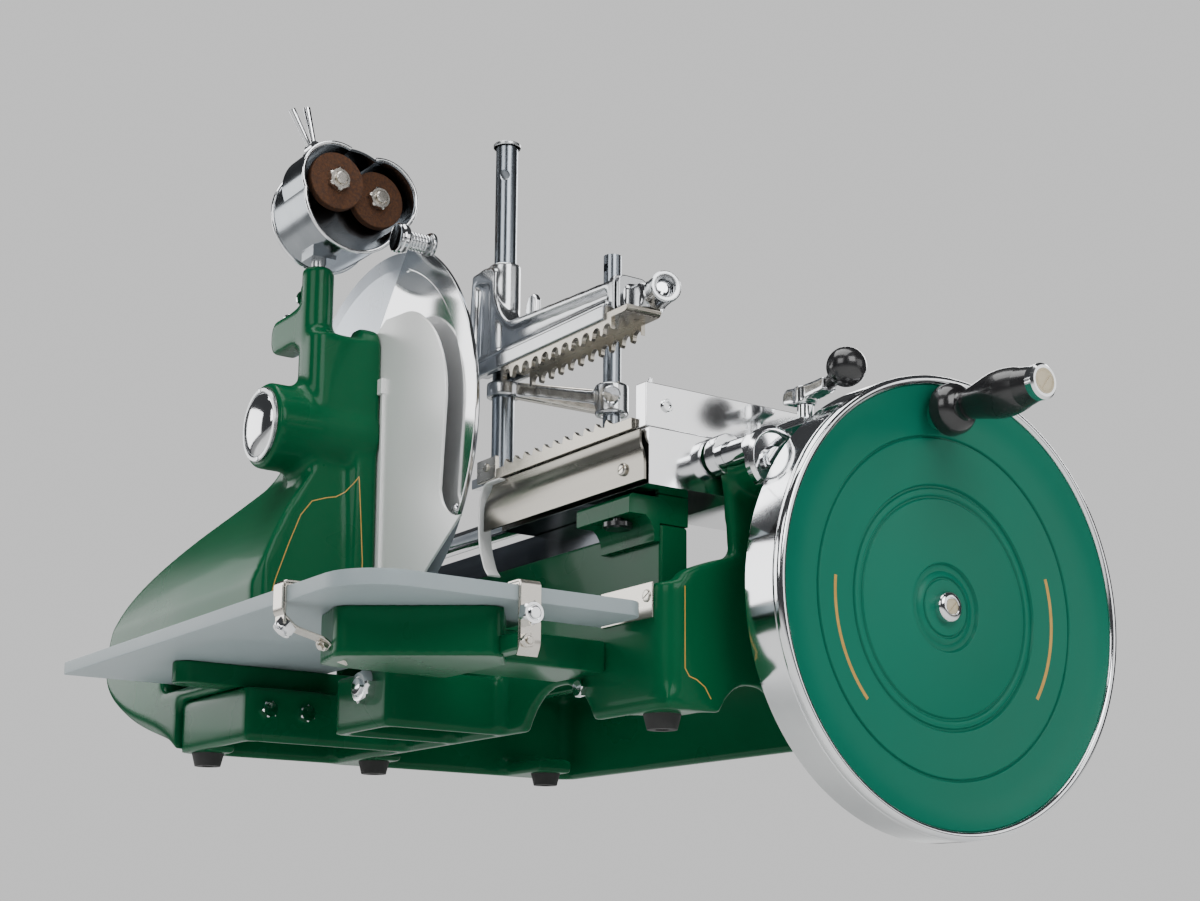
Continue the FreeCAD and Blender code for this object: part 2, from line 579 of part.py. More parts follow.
node("bed_rail", block("bed_rail_block", ("rail_left", "rail_y - rail_width / 2", BASE_TOP),
                       ("rail_right", "rail_y + rail_width / 2", RAIL_TOP)))
node("slide_bar", block("slide_bar_block", ("rail_left", "rail_y - bar_width / 2", RAIL_TOP),
                        ("rail_right - end_stop", "rail_y + bar_width / 2", BAR_TOP)))
node("rear_rail", block("rear_rail_block", ("rail_left", "base_rear - 24", BASE_TOP),
                        ("rail_right", "base_rear - 8", BAR_TOP)))

node("guide_rod", cylinder("guide_rod_bar", ("rail_left - 15", "rod_y", ROD_Z), "x", "rod_radius",
                           f"{ROD_END} - rail_left + 15"))
node("rod_collar", turned("rod_collar_body", [
    ("0", "0"), ("collar_radius", "0"), ("collar_radius", "5"), ("collar_radius - 3", "7", "3", 1),
    ("collar_radius - 6", "4"), ("11", "3"), ("9", "8"), ("0", "8"),
], (ROD_END, "collar_y", COLLAR_Z), "x"))

RAIL_SIDE = "rail_y - rail_width / 2"
node("stop_block", fused("stop_block_sum", [
    padded("stop_block_body", [
        (RAIL_SIDE, RAIL_TOP + " - 15"), (RAIL_SIDE, RAIL_TOP + " + 21"),
        (RAIL_SIDE + " - 26", RAIL_TOP + " + 21", "4", 1), (RAIL_SIDE + " - 30", RAIL_TOP + " + 17"),
        (RAIL_SIDE + " - 30", RAIL_TOP + " + 5"), (RAIL_SIDE + " - 14", RAIL_TOP + " + 5", "20", -1),
        (RAIL_SIDE + " - 6", RAIL_TOP + " - 15"),
    ], "stop_length", ("rail_right - stop_length", "0", "0"), "end"),
    block("bar_end_stop", ("rail_right - end_stop", RAIL_SIDE + " - 1", RAIL_TOP),
          ("rail_right", "rail_y + rail_width / 2", BAR_TOP)),
]))
node("lock_knob", turned("lock_knob_body", [
    ("0", "0"), ("lock_radius - 2", "0"), ("lock_radius", "1.5"), ("lock_radius", "5"),
    ("knob_screw", "5"), ("knob_screw", "9"), ("0", "9"),
], ("rail_right - 24", RAIL_SIDE + " - 24", RAIL_TOP + " - 4.3"), "z"))

# ---------------------------------------------------------------- carriage

node("carriage_body", cut("carriage_cut", block(
    "carriage_block", ("carriage_left", "carriage_front", CARRIAGE_BOTTOM),
    ("carriage_right", "carriage_rear + 86", CARRIAGE_TOP)), [
    cylinder("rod_hole", ("carriage_left - 1", "rod_y", ROD_Z), "x", "rod_radius + shaft_fit",
             "carriage_right - carriage_left + 2"),
    block("belly", ("carriage_left - 1", "rod_y + 24", CARRIAGE_BOTTOM + " - 1"),
          ("carriage_right - 14", "base_rear - 34", CARRIAGE_TOP + " - 12")),
]))
node("carriage_apron", padded("carriage_apron_body", [
    ("carriage_front", CARRIAGE_BOTTOM + " + 1"), ("carriage_front", CARRIAGE_TOP + " - 3"),
    ("carriage_front - 3", CARRIAGE_TOP + " - 3"),
    ("carriage_front - 3", CARRIAGE_TOP + " - 13", "6", -1),
    ("apron_front + 2", CARRIAGE_TOP + " - 16", "4", 1), ("apron_front", CARRIAGE_TOP + " - 20"),
    ("apron_front", CARRIAGE_BOTTOM + " + 5", "4", 1), ("apron_front + 4", CARRIAGE_BOTTOM + " + 1"),
], "carriage_right - carriage_left + 18", ("carriage_left - 15", "0", "0"), "end"))
LEVER_Z = CARRIAGE_TOP + " + lever_rise"
node("lever_bracket", fused("lever_bracket_sum", [
    padded("bracket_strap", [
        ("carriage_right", CARRIAGE_BOTTOM + " + 12"), ("carriage_right + 6", CARRIAGE_BOTTOM + " + 12"),
        ("carriage_right + 6", LEVER_Z + " - 26", "6", -1), ("carriage_right + 12", LEVER_Z + " - 20"),
        ("lever_x + 9", LEVER_Z + " - 20"), ("lever_x + 9", LEVER_Z + " - 14"),
        ("carriage_right + 12", LEVER_Z + " - 14", "12", 1), ("carriage_right", LEVER_Z + " - 26"),
    ], "18", ("0", "lever_y + 9", "0"), "-y"),
    cylinder("bracket_shoulder", ("lever_x", "lever_y", LEVER_Z + " - 15"), "z", "6.5", "13"),
    cylinder("bracket_pin", ("lever_x", "lever_y", LEVER_Z + " - 3"), "z", "4", "17"),
]))

# ---------------------------------------------------------------- feed table, posts and lower jaw

TABLE_BOTTOM = CARRIAGE_TOP + " + slide_gap"
TABLE_TOP = TABLE_BOTTOM + " + table_thick"
node("feed_table", fused("feed_table_sum", [
    block("table_floor", ("table_left", "table_front", TABLE_BOTTOM),
          ("carriage_right", "table_rear", TABLE_TOP)),
    block("table_fence", ("carriage_right - fence_thick", "table_front", TABLE_BOTTOM),
          ("carriage_right", "table_rear", TABLE_BOTTOM + " + fence_height")),
]))


def build_lower_jaw():
    """Upright strip along the table's edge with a row of hooked teeth."""
    body = body_at("lower_jaw_body", ("table_left + 48", "table_front", "0"), "-y")
    length = "carriage_right - fence_thick - table_left - 48"
    strip = outline(flat_sketch(body, "jaw_strip"), [
        ("0", TABLE_BOTTOM), (length, TABLE_BOTTOM), (length, TABLE_TOP), ("0", TABLE_TOP)])
    grown(body, "Pad", strip, "table_front - jaw_front", "jaw_strip_pad")
    tooth = outline(flat_sketch(body, "jaw_tooth"), [
        ("12", TABLE_TOP + " - 1"), ("10 + tooth_pitch", TABLE_TOP + " - 1"),
        ("10 + tooth_pitch", TABLE_TOP + " + 0.5", "14", -1),
        ("15", TABLE_TOP + " + tooth_height"), ("12.5", TABLE_TOP + " + tooth_height / 2")])
    pad = grown(body, "Pad", tooth, "table_front - jaw_front", "jaw_tooth_pad")
    patterned(body, pad, tooth, "H_Axis", "(tooth_count - 1) * tooth_pitch", "tooth_count", "jaw_teeth")
    return body


node("lower_jaw", build_lower_jaw())

node("jaw_post", fused("jaw_post_sum", [
    cut("jaw_post_drilled", cylinder("jaw_post_bar", ("post_x", "post_y", TABLE_TOP), "z", "post_radius",
                                     "post_height - 3"),
        cylinder("jaw_post_hole", ("post_x - 20 * cos(45)", "post_y + 20 * sin(45)",
                                   TABLE_TOP + " + post_height - 32"), "diagonal", "5", "40")),
    cylinder("jaw_post_cap", ("post_x", "post_y", TABLE_TOP + " + post_height - 3"), "z",
             "post_radius + 2", "3"),
]))
node("guide_post", cut("guide_post_drilled", cylinder(
    "guide_post_bar", ("guide_x", "guide_y", TABLE_TOP), "z", "guide_radius", "guide_height"),
    cylinder("guide_post_hole", ("guide_x", "guide_y + 20", TABLE_TOP + " + guide_height - 12"), "-y",
             "3.5", "40")))

# ---------------------------------------------------------------- upper jaw

ARM_BACK = "jaw_front + jaw_depth"
TEETH_Z = TABLE_TOP + " + teeth_rise"
ARM_BOTTOM = TEETH_Z + " + arm_rise"
ARM_TOP = ARM_BOTTOM + " + arm_depth"
SLEEVE_TOP = ARM_BOTTOM + " + sleeve_height"


def build_jaw_arm():
    """Cast arm: sleeve on the post, webbed beam along the teeth and a clamp socket at its end."""
    beam = padded("arm_beam", [
        ("post_x - 38", ARM_BOTTOM), ("arm_right", ARM_BOTTOM), ("arm_right", ARM_TOP + " - 4"),
        ("post_x + 30", ARM_TOP + " + 4", "46", -1), ("post_x + 8", SLEEVE_TOP + " - 9"),
        ("post_x - 12", SLEEVE_TOP + " - 1"), ("post_x - 34", SLEEVE_TOP + " - 3"),
        ("post_x - 40", ARM_TOP),
    ], "jaw_depth - 12", ("0", ARM_BACK + " - 4", "0"), "-y")
    web = padded("arm_web_pocket", [
        ("post_x - 30", ARM_BOTTOM + " + 12"), ("arm_right - 12", ARM_BOTTOM + " + 10"),
        ("arm_right - 12", ARM_TOP + " - 10"), ("post_x + 34", ARM_TOP + " - 3", "52", -1),
        ("post_x + 1", SLEEVE_TOP + " - 18"), ("post_x - 28", SLEEVE_TOP + " - 12"),
    ], "8", ("0", ARM_BACK + " - jaw_depth + 14", "0"), "-y")
    sleeve = cylinder("arm_sleeve", ("post_x", "post_y", ARM_BOTTOM + " + 3"), "z", "sleeve_radius",
                      "sleeve_height - 3")
    flange = block("arm_flange", ("post_x - 20", "jaw_front", ARM_BOTTOM),
                   ("arm_right", ARM_BACK, ARM_BOTTOM + " + 6"))
    collar = cylinder("arm_collar", ("arm_right", "post_y", ARM_BOTTOM + " + 9.5"), "x", "15", "10")
    clasp = block("arm_clasp", ("arm_right + 9", "post_y - 9", TEETH_Z + " + 18"),
                  ("arm_right + 29", "post_y + 15", ARM_BOTTOM + " + 16"))
    tube = cylinder("arm_tube", ("arm_right + 21", "post_y + 8", ARM_BOTTOM + " + 7"), "slant", "12.5",
                    "30")
    body = fused("arm_sum", [cut("arm_webbed", beam, web), sleeve, flange, collar, clasp, tube])
    return cut("arm_bored", body, [
        cylinder("arm_bore", ("post_x", "post_y", ARM_BOTTOM + " - 10"), "z", "post_radius + jaw_fit",
                 "sleeve_height + 20"),
        cylinder("tube_socket", ("arm_right + 42", "post_y + 2.4", ARM_BOTTOM + " + 7"), "slant", "8.5",
                 "20"),
    ])


node("jaw_arm", build_jaw_arm())


def build_upper_teeth():
    """Plate under the arm with a skirt of arched teeth along its front and back edges."""
    left, right = "post_x + 24", "arm_right + 30"
    body = body_at("upper_teeth_body", ("0", ARM_BACK, "0"), "-y")
    plate = outline(flat_sketch(body, "teeth_plate"), [
        (left, ARM_BOTTOM + " - 11"), (right + " - 5", ARM_BOTTOM + " - 11", "5", 1),
        (right, ARM_BOTTOM + " - 6"), ("arm_right", ARM_BOTTOM + " - 6"), ("arm_right", ARM_BOTTOM),
        (left, ARM_BOTTOM)])
    grown(body, "Pad", plate, "jaw_depth", "teeth_plate_pad")
    arch = "(tooth_pitch - tooth_width) / 2"
    spring = f"{TEETH_Z} + 9 - {arch}"
    for row, start in (("far", "0"), ("near", "jaw_depth - 4")):
        sketch = flat_sketch(body, f"{row}_tooth")
        sketch.AttachmentOffset = FreeCAD.Placement(Vector(0, 0, size(start)), Rotation())
        sketch.setExpression("AttachmentOffset.Base.z", named(start))
        first = left + " + 8"
        outline(sketch, [
            (first, ARM_BOTTOM + " - 10"), (first, TEETH_Z + " + 2"),
            (first + " + tooth_width / 2", TEETH_Z), (first + " + tooth_width", TEETH_Z + " + 2"),
            (first + " + tooth_width", spring, arch, -1),
            (f"{first} + tooth_width + {arch}", f"{TEETH_Z} + 9", arch, -1),
            (first + " + tooth_pitch", spring), (first + " + tooth_pitch + 0.3", spring),
            (first + " + tooth_pitch + 0.3", ARM_BOTTOM + " - 10")])
        pad = grown(body, "Pad", sketch, "4", f"{row}_tooth_pad")
        patterned(body, pad, sketch, "H_Axis", "(tooth_count - 1) * tooth_pitch", "tooth_count",
                  f"{row}_teeth")
    return body


node("upper_teeth", build_upper_teeth())


def build_guide_link():
    """Sloping bar between a collar on the jaw post and a sleeve on the guide post."""
    low = TEETH_Z + " - 4"
    run, rise = "(guide_x - post_x)", "(guide_y - post_y)"
    turn = Rotation(Vector(0, 0, 1), math.degrees(math.atan2(size(rise), size(run))))
    span = f"sqrt({run} * {run} + {rise} * {rise})"
    bar = padded("link_bar", [
        ("4", low + " + 1"), (span, low + " + 1 - link_drop"), (span, low + " + 14 - link_drop"),
        ("4", low + " + 14")], "12", ("post_x", "post_y", "0"), "-y")
    bar.Placement = FreeCAD.Placement(bar.Placement.Base + turn.multVec(Vector(0, 6, 0)),
                                      turn * AXIS_TURN["-y"])
    bar.setExpression("Placement.Base.x", named(f"post_x - 6 * {rise} / {span}"))
    bar.setExpression("Placement.Base.y", named(f"post_y + 6 * {run} / {span}"))
    collar = cylinder("link_collar", ("post_x", "post_y", low), "z", "post_radius + 5", "14")
    sleeve = cylinder("link_sleeve", ("guide_x", "guide_y", low + " - 20"), "z", "guide_radius + 7", "28")
    return cut("link_bored", fused("link_sum", [bar, collar, sleeve]), [
        cylinder("link_post_bore", ("post_x", "post_y", low + " - 25"), "z", "post_radius + jaw_fit",
                 "60"),
        cylinder("link_guide_bore", ("guide_x", "guide_y", low + " - 25"), "z", "guide_radius + jaw_fit",
                 "60"),
    ])


node("guide_link", build_guide_link())
node("jaw_clamp", fused("jaw_clamp_sum", [
    cylinder("clamp_hub", ("post_x + 27", ARM_BACK + " - 3.7", ARM_TOP + " - 3"), "y", "6", "12"),
    padded("clamp_blade", [
        ("post_x + 22", ARM_TOP + " - 3"), ("post_x + 32", ARM_TOP + " - 3"),
        ("post_x + 31", ARM_TOP + " + 22", "4", 1), ("post_x + 27", ARM_TOP + " + 26", "4", 1),
        ("post_x + 23", ARM_TOP + " + 22")], "5", ("0", ARM_BACK + " + 7", "0"), "-y"),
]))

# ---------------------------------------------------------------- release lever

node("release_arm", cut("release_arm_cut", fused("release_arm_sum", [
    cylinder("release_hub", ("lever_x", "lever_y", LEVER_Z + " - 1.7"), "z", "9", "14.7"),
    padded("release_beam", [
        ("lever_x - lever_tail", LEVER_Z + " + 2"), ("lever_x - 8", LEVER_Z),
        ("lever_x + 30", LEVER_Z + " + 4"), ("lever_x + 30", LEVER_Z + " + 14"),
        ("lever_x - 4", LEVER_Z + " + 13"),
        ("lever_x - lever_tail + 6", LEVER_Z + " + 14", "6", 1),
        ("lever_x - lever_tail", LEVER_Z + " + 8"),
    ], "14", ("0", "lever_y + 7", "0"), "-y"),
]), cylinder("release_bore", ("lever_x", "lever_y", LEVER_Z + " - 3"), "z", "4 + shaft_fit", "20")))
BALL_END = "sqrt(ball_radius ^ 2 - ball_flat ^ 2)"
BALL_Z = "axle_z + sqrt((wheel_radius + ball_radius + ball_gap) ^ 2 - (axle_y - lever_y) ^ 2)"
stem_rise = size(f"{BALL_Z} - ({LEVER_Z} + 9)")
stem_run = size("ball_x - lever_x - 28")
stem = cone("release_stem", ("lever_x + 28", "lever_y", LEVER_Z + " + 9"), "x", "5", "8",
            f"sqrt(({BALL_Z} - ({LEVER_Z} + 9)) ^ 2 + (ball_x - lever_x - 28) ^ 2)")
stem.Placement.Rotation = Rotation(Vector(0, 1, 0), math.degrees(math.atan2(stem_run, stem_rise)))
node("release_knob", cut("release_knob_cut", fused("release_knob_sum", [
    turned("release_ball", [
        ("0", "-" + BALL_END), ("ball_flat", "-" + BALL_END, "ball_radius", 1),
        ("ball_radius", "0", "ball_radius", 1), ("ball_flat", BALL_END), ("0", BALL_END),
    ], ("ball_x", "lever_y", BALL_Z), "z"),
    stem,
]), block("stem_seat", ("lever_x + 20", "lever_y - 12", LEVER_Z + " - 4"),
          ("lever_x + 30", "lever_y + 12", LEVER_Z + " + 24"))))

# ---------------------------------------------------------------- tray

TRAY_TOP = "tray_bottom + tray_thick"
node("tray", padded("tray_body", [
    ("tray_left", "tray_front"), ("tray_right - tray_corner", "tray_front", "tray_corner", 1),
    ("tray_right", "tray_front + tray_corner"), ("tray_right", "tray_tab - 14", "14", 1),
    ("tray_right - 14", "tray_tab"), ("tray_tab_left", "tray_tab"), ("tray_tab_left", "tray_back"),
    ("tray_left", "tray_back"),
], "tray_thick", ("0", "0", "tray_bottom")))
BRACKET_BACK = "tray_front + 162"
node("tray_bracket", padded("tray_bracket_body", [
    ("tray_right - 150", "tray_front + 60", "14", 1), ("tray_right - 140", "tray_front + 46"),
    ("tray_right - 106", "tray_front + 38", "14", 1), ("tray_right - 88", "tray_front + 46"),
    ("tray_right - 30", "tray_front + 122", "14", 1), ("tray_right - 28", "tray_front + 140"),
    ("tray_right - 60", BRACKET_BACK), ("tray_right - 150", BRACKET_BACK),
], "bracket_depth", ("0", "0", "tray_bottom - bracket_depth")))
node("tray_arm", block("tray_arm_bar",
                       ("tray_right - 140", BRACKET_BACK, "tray_bottom - bracket_depth + 4"),
                       ("tray_right - 70", "base_front", "tray_bottom - 8")))
node("tray_support", fused("tray_support_sum", [
    block("support_bar", ("support_x - support_half", "support_front", WING_TOP),
          ("support_x + support_half", "column_back", "tray_bottom")),
    cylinder("support_nose", ("support_x", "support_front", WING_TOP), "z", "support_half",
             f"tray_bottom - ({WING_TOP})"),
]))
node("tray_clip_1", padded("clip_1_body", [
    ("tray_front - 2", "tray_bottom - 16"), ("tray_front", "tray_bottom - 16"), ("tray_front", TRAY_TOP),
    ("tray_front + 9", TRAY_TOP), ("tray_front + 9", TRAY_TOP + " + 2"),
    ("tray_front - 2", TRAY_TOP + " + 2"),
], "15", ("tray_right - 120", "0", "0"), "end"))
node("tray_clip_2", padded("clip_2_body", [
    ("tray_right", "tray_bottom - 34"), ("tray_right + 2", "tray_bottom - 34"),
    ("tray_right + 2", TRAY_TOP + " + 2"), ("tray_right - 9", TRAY_TOP + " + 2"),
    ("tray_right - 9", TRAY_TOP), ("tray_right", TRAY_TOP),
], "18", ("0", "tray_front + 152", "0"), "-y"))
node("wear_plate", block("wear_plate_body", ("base_right - 86", "base_front - 2", "tray_bottom + 2"),
                         ("base_right - 17", "base_front", BASE_TOP)))

# ---------------------------------------------------------------- sharpener

CUP_BOTTOM = "cup_z - cup_radius"
node("sharpener_stem", cylinder("stem_rod", ("socket_x", "socket_y", "column_top - 2"), "z",
                                "stem_radius", f"{CUP_BOTTOM} + 9.7 - column_top"))

STONES = [
    # height of the centre, how far the stone sits back from the cup's face
    ("stone_y", "stone_z", "10", "stone_ring"),
    ("stone_y + stone_pitch", "stone_z - stone_drop", "21", "stone_ring - 1"),
]
FINGER_Y, FINGER_Z = "cup_y - 24", "cup_z + 60"


def build_cup():
    """Twin cup: two stone rings and a deep bowl, hollowed from the front."""
    outer = [
        cylinder("bowl", ("cup_front - cup_depth", "cup_y", "cup_z"), "x", "cup_radius", "cup_depth"),
        block("cup_seat", ("socket_x - 12", "socket_y - 12", CUP_BOTTOM + " - 2"),
              ("socket_x + 12", "socket_y + 12", CUP_BOTTOM + " + 12")),
        block("lever_mount", ("cup_front - 50", FINGER_Y + " - 6", "cup_z + 30"),
              ("cup_front - 34", FINGER_Y + " + 6", FINGER_Z + " - 5.3")),
    ]
    inner = [
        cylinder("bowl_hollow", ("cup_front - 30", "cup_y", "cup_z"), "x", "cup_radius - cup_wall", "40"),
        cylinder("seat_bore", ("socket_x", "socket_y", CUP_BOTTOM + " - 5"), "z",
                 "stem_radius + shaft_fit", "13"),
    ]
    for number, (y, z, _, radius) in enumerate(STONES, start=1):
        outer.append(cylinder(f"ring_{number}", ("cup_front - 44", y, z), "x", radius, "44"))
        inner.append(cylinder(f"ring_hollow_{number}", ("cup_front - 30", y, z), "x",
                              f"{radius} - cup_wall", "40"))
        inner.append(cylinder(f"spindle_hole_{number}", ("cup_front - 50", y, z), "x", "4 + shaft_fit",
                              "50"))
    return cut("cup_hollowed", fused("cup_sum", outer), inner)


node("sharpener_cup", build_cup())

for number, (y, z, back, _) in enumerate(STONES, start=1):
    face = f"cup_front - {back}"
    node(f"stone_{number}", cut(f"stone_ring_{number}", cylinder(
        f"stone_disc_{number}", (face, y, z), "x", "stone_radius", "stone_thick"), cylinder(
            f"stone_bore_{number}", (f"{face} - 1", y, z), "x", "4", "stone_thick + 2")))
    node(f"stone_spindle_{number}", fused(f"stone_spindle_sum_{number}", [
        cylinder(f"spindle_{number}", ("cup_front - 48", y, z), "x", "4",
                 f"48 - {back} + stone_thick + 10"),
        bound("Part::Prism", f"nut_{number}", (f"{face} + stone_thick", y, z), "x", Polygon="6",
              Circumradius="10.5", Height="6"),
    ]))

for number, (lean, reach, start) in enumerate(((31, "41", "0"), (14, "38", "7.3")), start=1):
    at = (f"cup_front - 49.5 + {start}", FINGER_Y, FINGER_Z)
    hub = cylinder(f"finger_hub_{number}", at, "x", "5", "7")
    bar = cone(f"finger_bar_{number}", (f"{at[0]} + 3.5", FINGER_Y, FINGER_Z), "z", "2.5", "3.5", reach)
    bar.Placement.Rotation = Rotation(Vector(1, 0, 0), lean)
    node(f"sharpener_lever_{number}", fused(f"finger_sum_{number}", [hub, bar]))
SCREW_HEAD = "rib_reach - stem_radius"
node("socket_screw", turned("socket_screw_body", [
    ("0", "0"), ("clamp_radius", "0"), ("clamp_radius", SCREW_HEAD), ("9.5", SCREW_HEAD),
    ("9.5", SCREW_HEAD + " + 2"), ("8.5", SCREW_HEAD + " + 3", dome("8.5", "3"), 1),
    ("0", SCREW_HEAD + " + 6"),
], ("socket_x - stem_radius - 0.5", "socket_y", "socket_top - 22"), "-x"))
node("guard_knob", turned("guard_knob_body", [
    ("0", "0"), ("knob_screw", "0"), ("knob_screw", "knob_reach"), ("knob_radius - 1", "knob_reach"),
    ("knob_radius", "knob_reach + 2"), ("knob_radius", "knob_reach + 5"),
    ("knob_radius - 2", "knob_reach + 7"), ("0", "knob_reach + 7"),
], ("knob_x", GUARD_BACK + " + 0.5", "knob_z"), "-y"))

doc.recompute()

bad = [item.Name for item in doc.Objects if "Invalid" in item.State or "Error" in item.State]
if bad:
    raise RuntimeError("failed objects: " + ", ".join(bad))
os.makedirs("parts", exist_ok=True)
for name, obj in nodes.items():
    shape = obj.Shape
    if shape.isNull() or not shape.isValid():
        raise RuntimeError("bad shape: " + name)
    shape.exportStep(f"parts/{name}.step")
    box = shape.BoundBox
    print(f"{name}: {len(shape.Solids)} solid, volume {shape.Volume:.0f}", box)
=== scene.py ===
"""Hand crank meat slicer: finishes, fine pieces, camera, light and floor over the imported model."""
import json
import math

import bmesh
import bpy
from mathutils import Matrix, Vector
from mathutils.bvhtree import BVHTree

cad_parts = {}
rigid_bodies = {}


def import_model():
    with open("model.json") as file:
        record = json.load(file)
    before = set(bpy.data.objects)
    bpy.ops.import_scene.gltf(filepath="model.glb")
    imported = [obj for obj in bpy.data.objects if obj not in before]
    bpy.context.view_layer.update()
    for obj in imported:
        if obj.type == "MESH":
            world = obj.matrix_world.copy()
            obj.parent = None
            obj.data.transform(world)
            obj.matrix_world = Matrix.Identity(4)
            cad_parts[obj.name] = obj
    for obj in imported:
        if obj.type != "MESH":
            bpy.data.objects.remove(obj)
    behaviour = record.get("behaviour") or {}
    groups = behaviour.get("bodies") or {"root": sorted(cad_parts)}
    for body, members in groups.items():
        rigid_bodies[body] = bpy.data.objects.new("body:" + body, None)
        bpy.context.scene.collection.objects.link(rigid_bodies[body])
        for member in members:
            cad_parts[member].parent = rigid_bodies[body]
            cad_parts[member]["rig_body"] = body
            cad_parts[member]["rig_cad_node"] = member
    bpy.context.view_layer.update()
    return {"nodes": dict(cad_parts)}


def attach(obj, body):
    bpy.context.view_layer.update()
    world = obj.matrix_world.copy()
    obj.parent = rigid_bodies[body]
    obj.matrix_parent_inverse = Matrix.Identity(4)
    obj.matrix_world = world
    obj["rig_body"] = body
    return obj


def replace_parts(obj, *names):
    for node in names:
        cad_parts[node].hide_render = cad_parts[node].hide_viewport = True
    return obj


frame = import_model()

# The frame is the part's own: +X towards the flywheel, -Y towards the operator, +Z up.
# Camera, lights and floor are placed in metres, and all pieces in millimetres of the part's frame.
MM = 0.001
RIGHT, LEFT, FRONT, BACK, UP = (1, 0, 0), (-1, 0, 0), (0, -1, 0), (0, 1, 0), (0, 0, 1)

# ---------------------------------------------------------------- camera, light and floor

PHOTO_WIDTH, PHOTO_HEIGHT = 1200, 901
FOCAL_PIXELS, PRINCIPAL_ROW = 1928, 628
SENSOR_WIDTH = 36
CAMERA_AT = Vector((1.4297, -0.9904, -0.1740))
YAW, PITCH, ROLL = (math.radians(angle) for angle in (34.82, 9.68, 0.39))

FLOOR_LEVEL, FLOOR_SIZE = -0.19, 24
FLOOR_COLOUR, FLOOR_ROUGHNESS = (0.72, 0.72, 0.71, 1), 0.7
FLOOR_GLOW, FLOOR_GLOW_STRENGTH = (0.8, 0.8, 0.8, 1), 0.3
BACKDROP_COLOUR, BACKDROP_STRENGTH = (0.80, 0.80, 0.80, 1), 1
ROOM_COLOUR, ROOM_STRENGTH = (0.5, 0.52, 0.55, 1), 0.10

SOFT_BOXES = [
    # name, place, what it faces, width, height, watts
    ("left_soft_box", (-2.2, -1.6, 0.85), (-0.05, -0.15, 0.3), 2.2, 1.1, 25),
    ("right_soft_box", (2.5, -0.3, 1.5), (0.25, 0.0, 0.15), 1.5, 1.3, 34),
    ("far_soft_box", (1.9, 1.15, 0.75), (0.2, 0.0, 0.2), 1.3, 1.0, 7),
    ("front_soft_box", (0.9, -2.5, 1.3), (0.0, -0.1, 0.2), 1.4, 1.2, 20),
    ("top_soft_box", (0.1, -0.5, 2.1), (0.0, -0.05, 0.2), 2.2, 1.5, 42),
    ("back_soft_box", (-0.9, 1.8, 1.2), (0.0, 0.0, 0.3), 1.2, 0.7, 16),
]


def make_camera():
    """The photograph's camera, whose principal point lies below the picture's middle."""
    data = bpy.data.cameras.new("camera")
    data.sensor_width = SENSOR_WIDTH
    data.lens = SENSOR_WIDTH * FOCAL_PIXELS / PHOTO_WIDTH
    data.shift_y = (PRINCIPAL_ROW - PHOTO_HEIGHT / 2) / PHOTO_WIDTH
    data.clip_start, data.clip_end = 0.01, 100
    camera = bpy.data.objects.new("camera", data)
    level = math.cos(PITCH)
    forward = Vector((-math.cos(YAW) * level, math.sin(YAW) * level, math.sin(PITCH)))
    aim = forward.to_track_quat("-Z", "Y").to_matrix().to_4x4() @ Matrix.Rotation(ROLL, 4, "Z")
    camera.matrix_world = Matrix.Translation(CAMERA_AT) @ aim
    bpy.context.collection.objects.link(camera)
    bpy.context.scene.camera = camera


def soft_box(name, at, target, width, height, power):
    data = bpy.data.lights.new(name, "AREA")
    data.shape, data.size, data.size_y, data.energy = "RECTANGLE", width, height, power
    lamp = bpy.data.objects.new(name, data)
    lamp.location = at
    lamp.rotation_euler = (Vector(target) - Vector(at)).to_track_quat("-Z", "Y").to_euler()
    bpy.context.collection.objects.link(lamp)


def make_stage():
    """Pale floor, pale backdrop, and a dim room around for the chrome to mirror."""
    bpy.ops.mesh.primitive_plane_add(size=FLOOR_SIZE, location=(0, 0, FLOOR_LEVEL))
    floor = bpy.context.object
    floor.name = "floor"
    paint, _, _, shader = new_material("floor_paint")
    shader.inputs["Base Color"].default_value = FLOOR_COLOUR
    shader.inputs["Roughness"].default_value = FLOOR_ROUGHNESS
    shader.inputs["Emission Color"].default_value = FLOOR_GLOW
    shader.inputs["Emission Strength"].default_value = FLOOR_GLOW_STRENGTH
    floor.data.materials.append(paint)
    world = bpy.data.worlds.new("room")
    bpy.context.scene.world = world
    world.use_nodes = True
    nodes, links = world.node_tree.nodes, world.node_tree.links
    seen, mirrored = nodes["Background"], nodes.new("ShaderNodeBackground")
    seen.inputs["Color"].default_value = BACKDROP_COLOUR
    seen.inputs["Strength"].default_value = BACKDROP_STRENGTH
    mirrored.inputs["Color"].default_value = ROOM_COLOUR
    mirrored.inputs["Strength"].default_value = ROOM_STRENGTH
    path, mix = nodes.new("ShaderNodeLightPath"), nodes.new("ShaderNodeMixShader")
    links.new(path.outputs["Is Camera Ray"], mix.inputs["Fac"])
    links.new(mirrored.outputs[0], mix.inputs[1])
    links.new(seen.outputs[0], mix.inputs[2])
    links.new(mix.outputs[0], nodes["World Output"].inputs["Surface"])
    for box in SOFT_BOXES:
        soft_box(*box)


# ---------------------------------------------------------------- materials

NOISE_LOW, NOISE_HIGH = 0.3, 0.7
COAT_ROUGHNESS = 0.06
EVEN, BRUSHED, ROLLED, DRAWN = (1, 1, 1), (0.05, 1, 1), (0.06, 1, 1), (1, 1, 0.05)

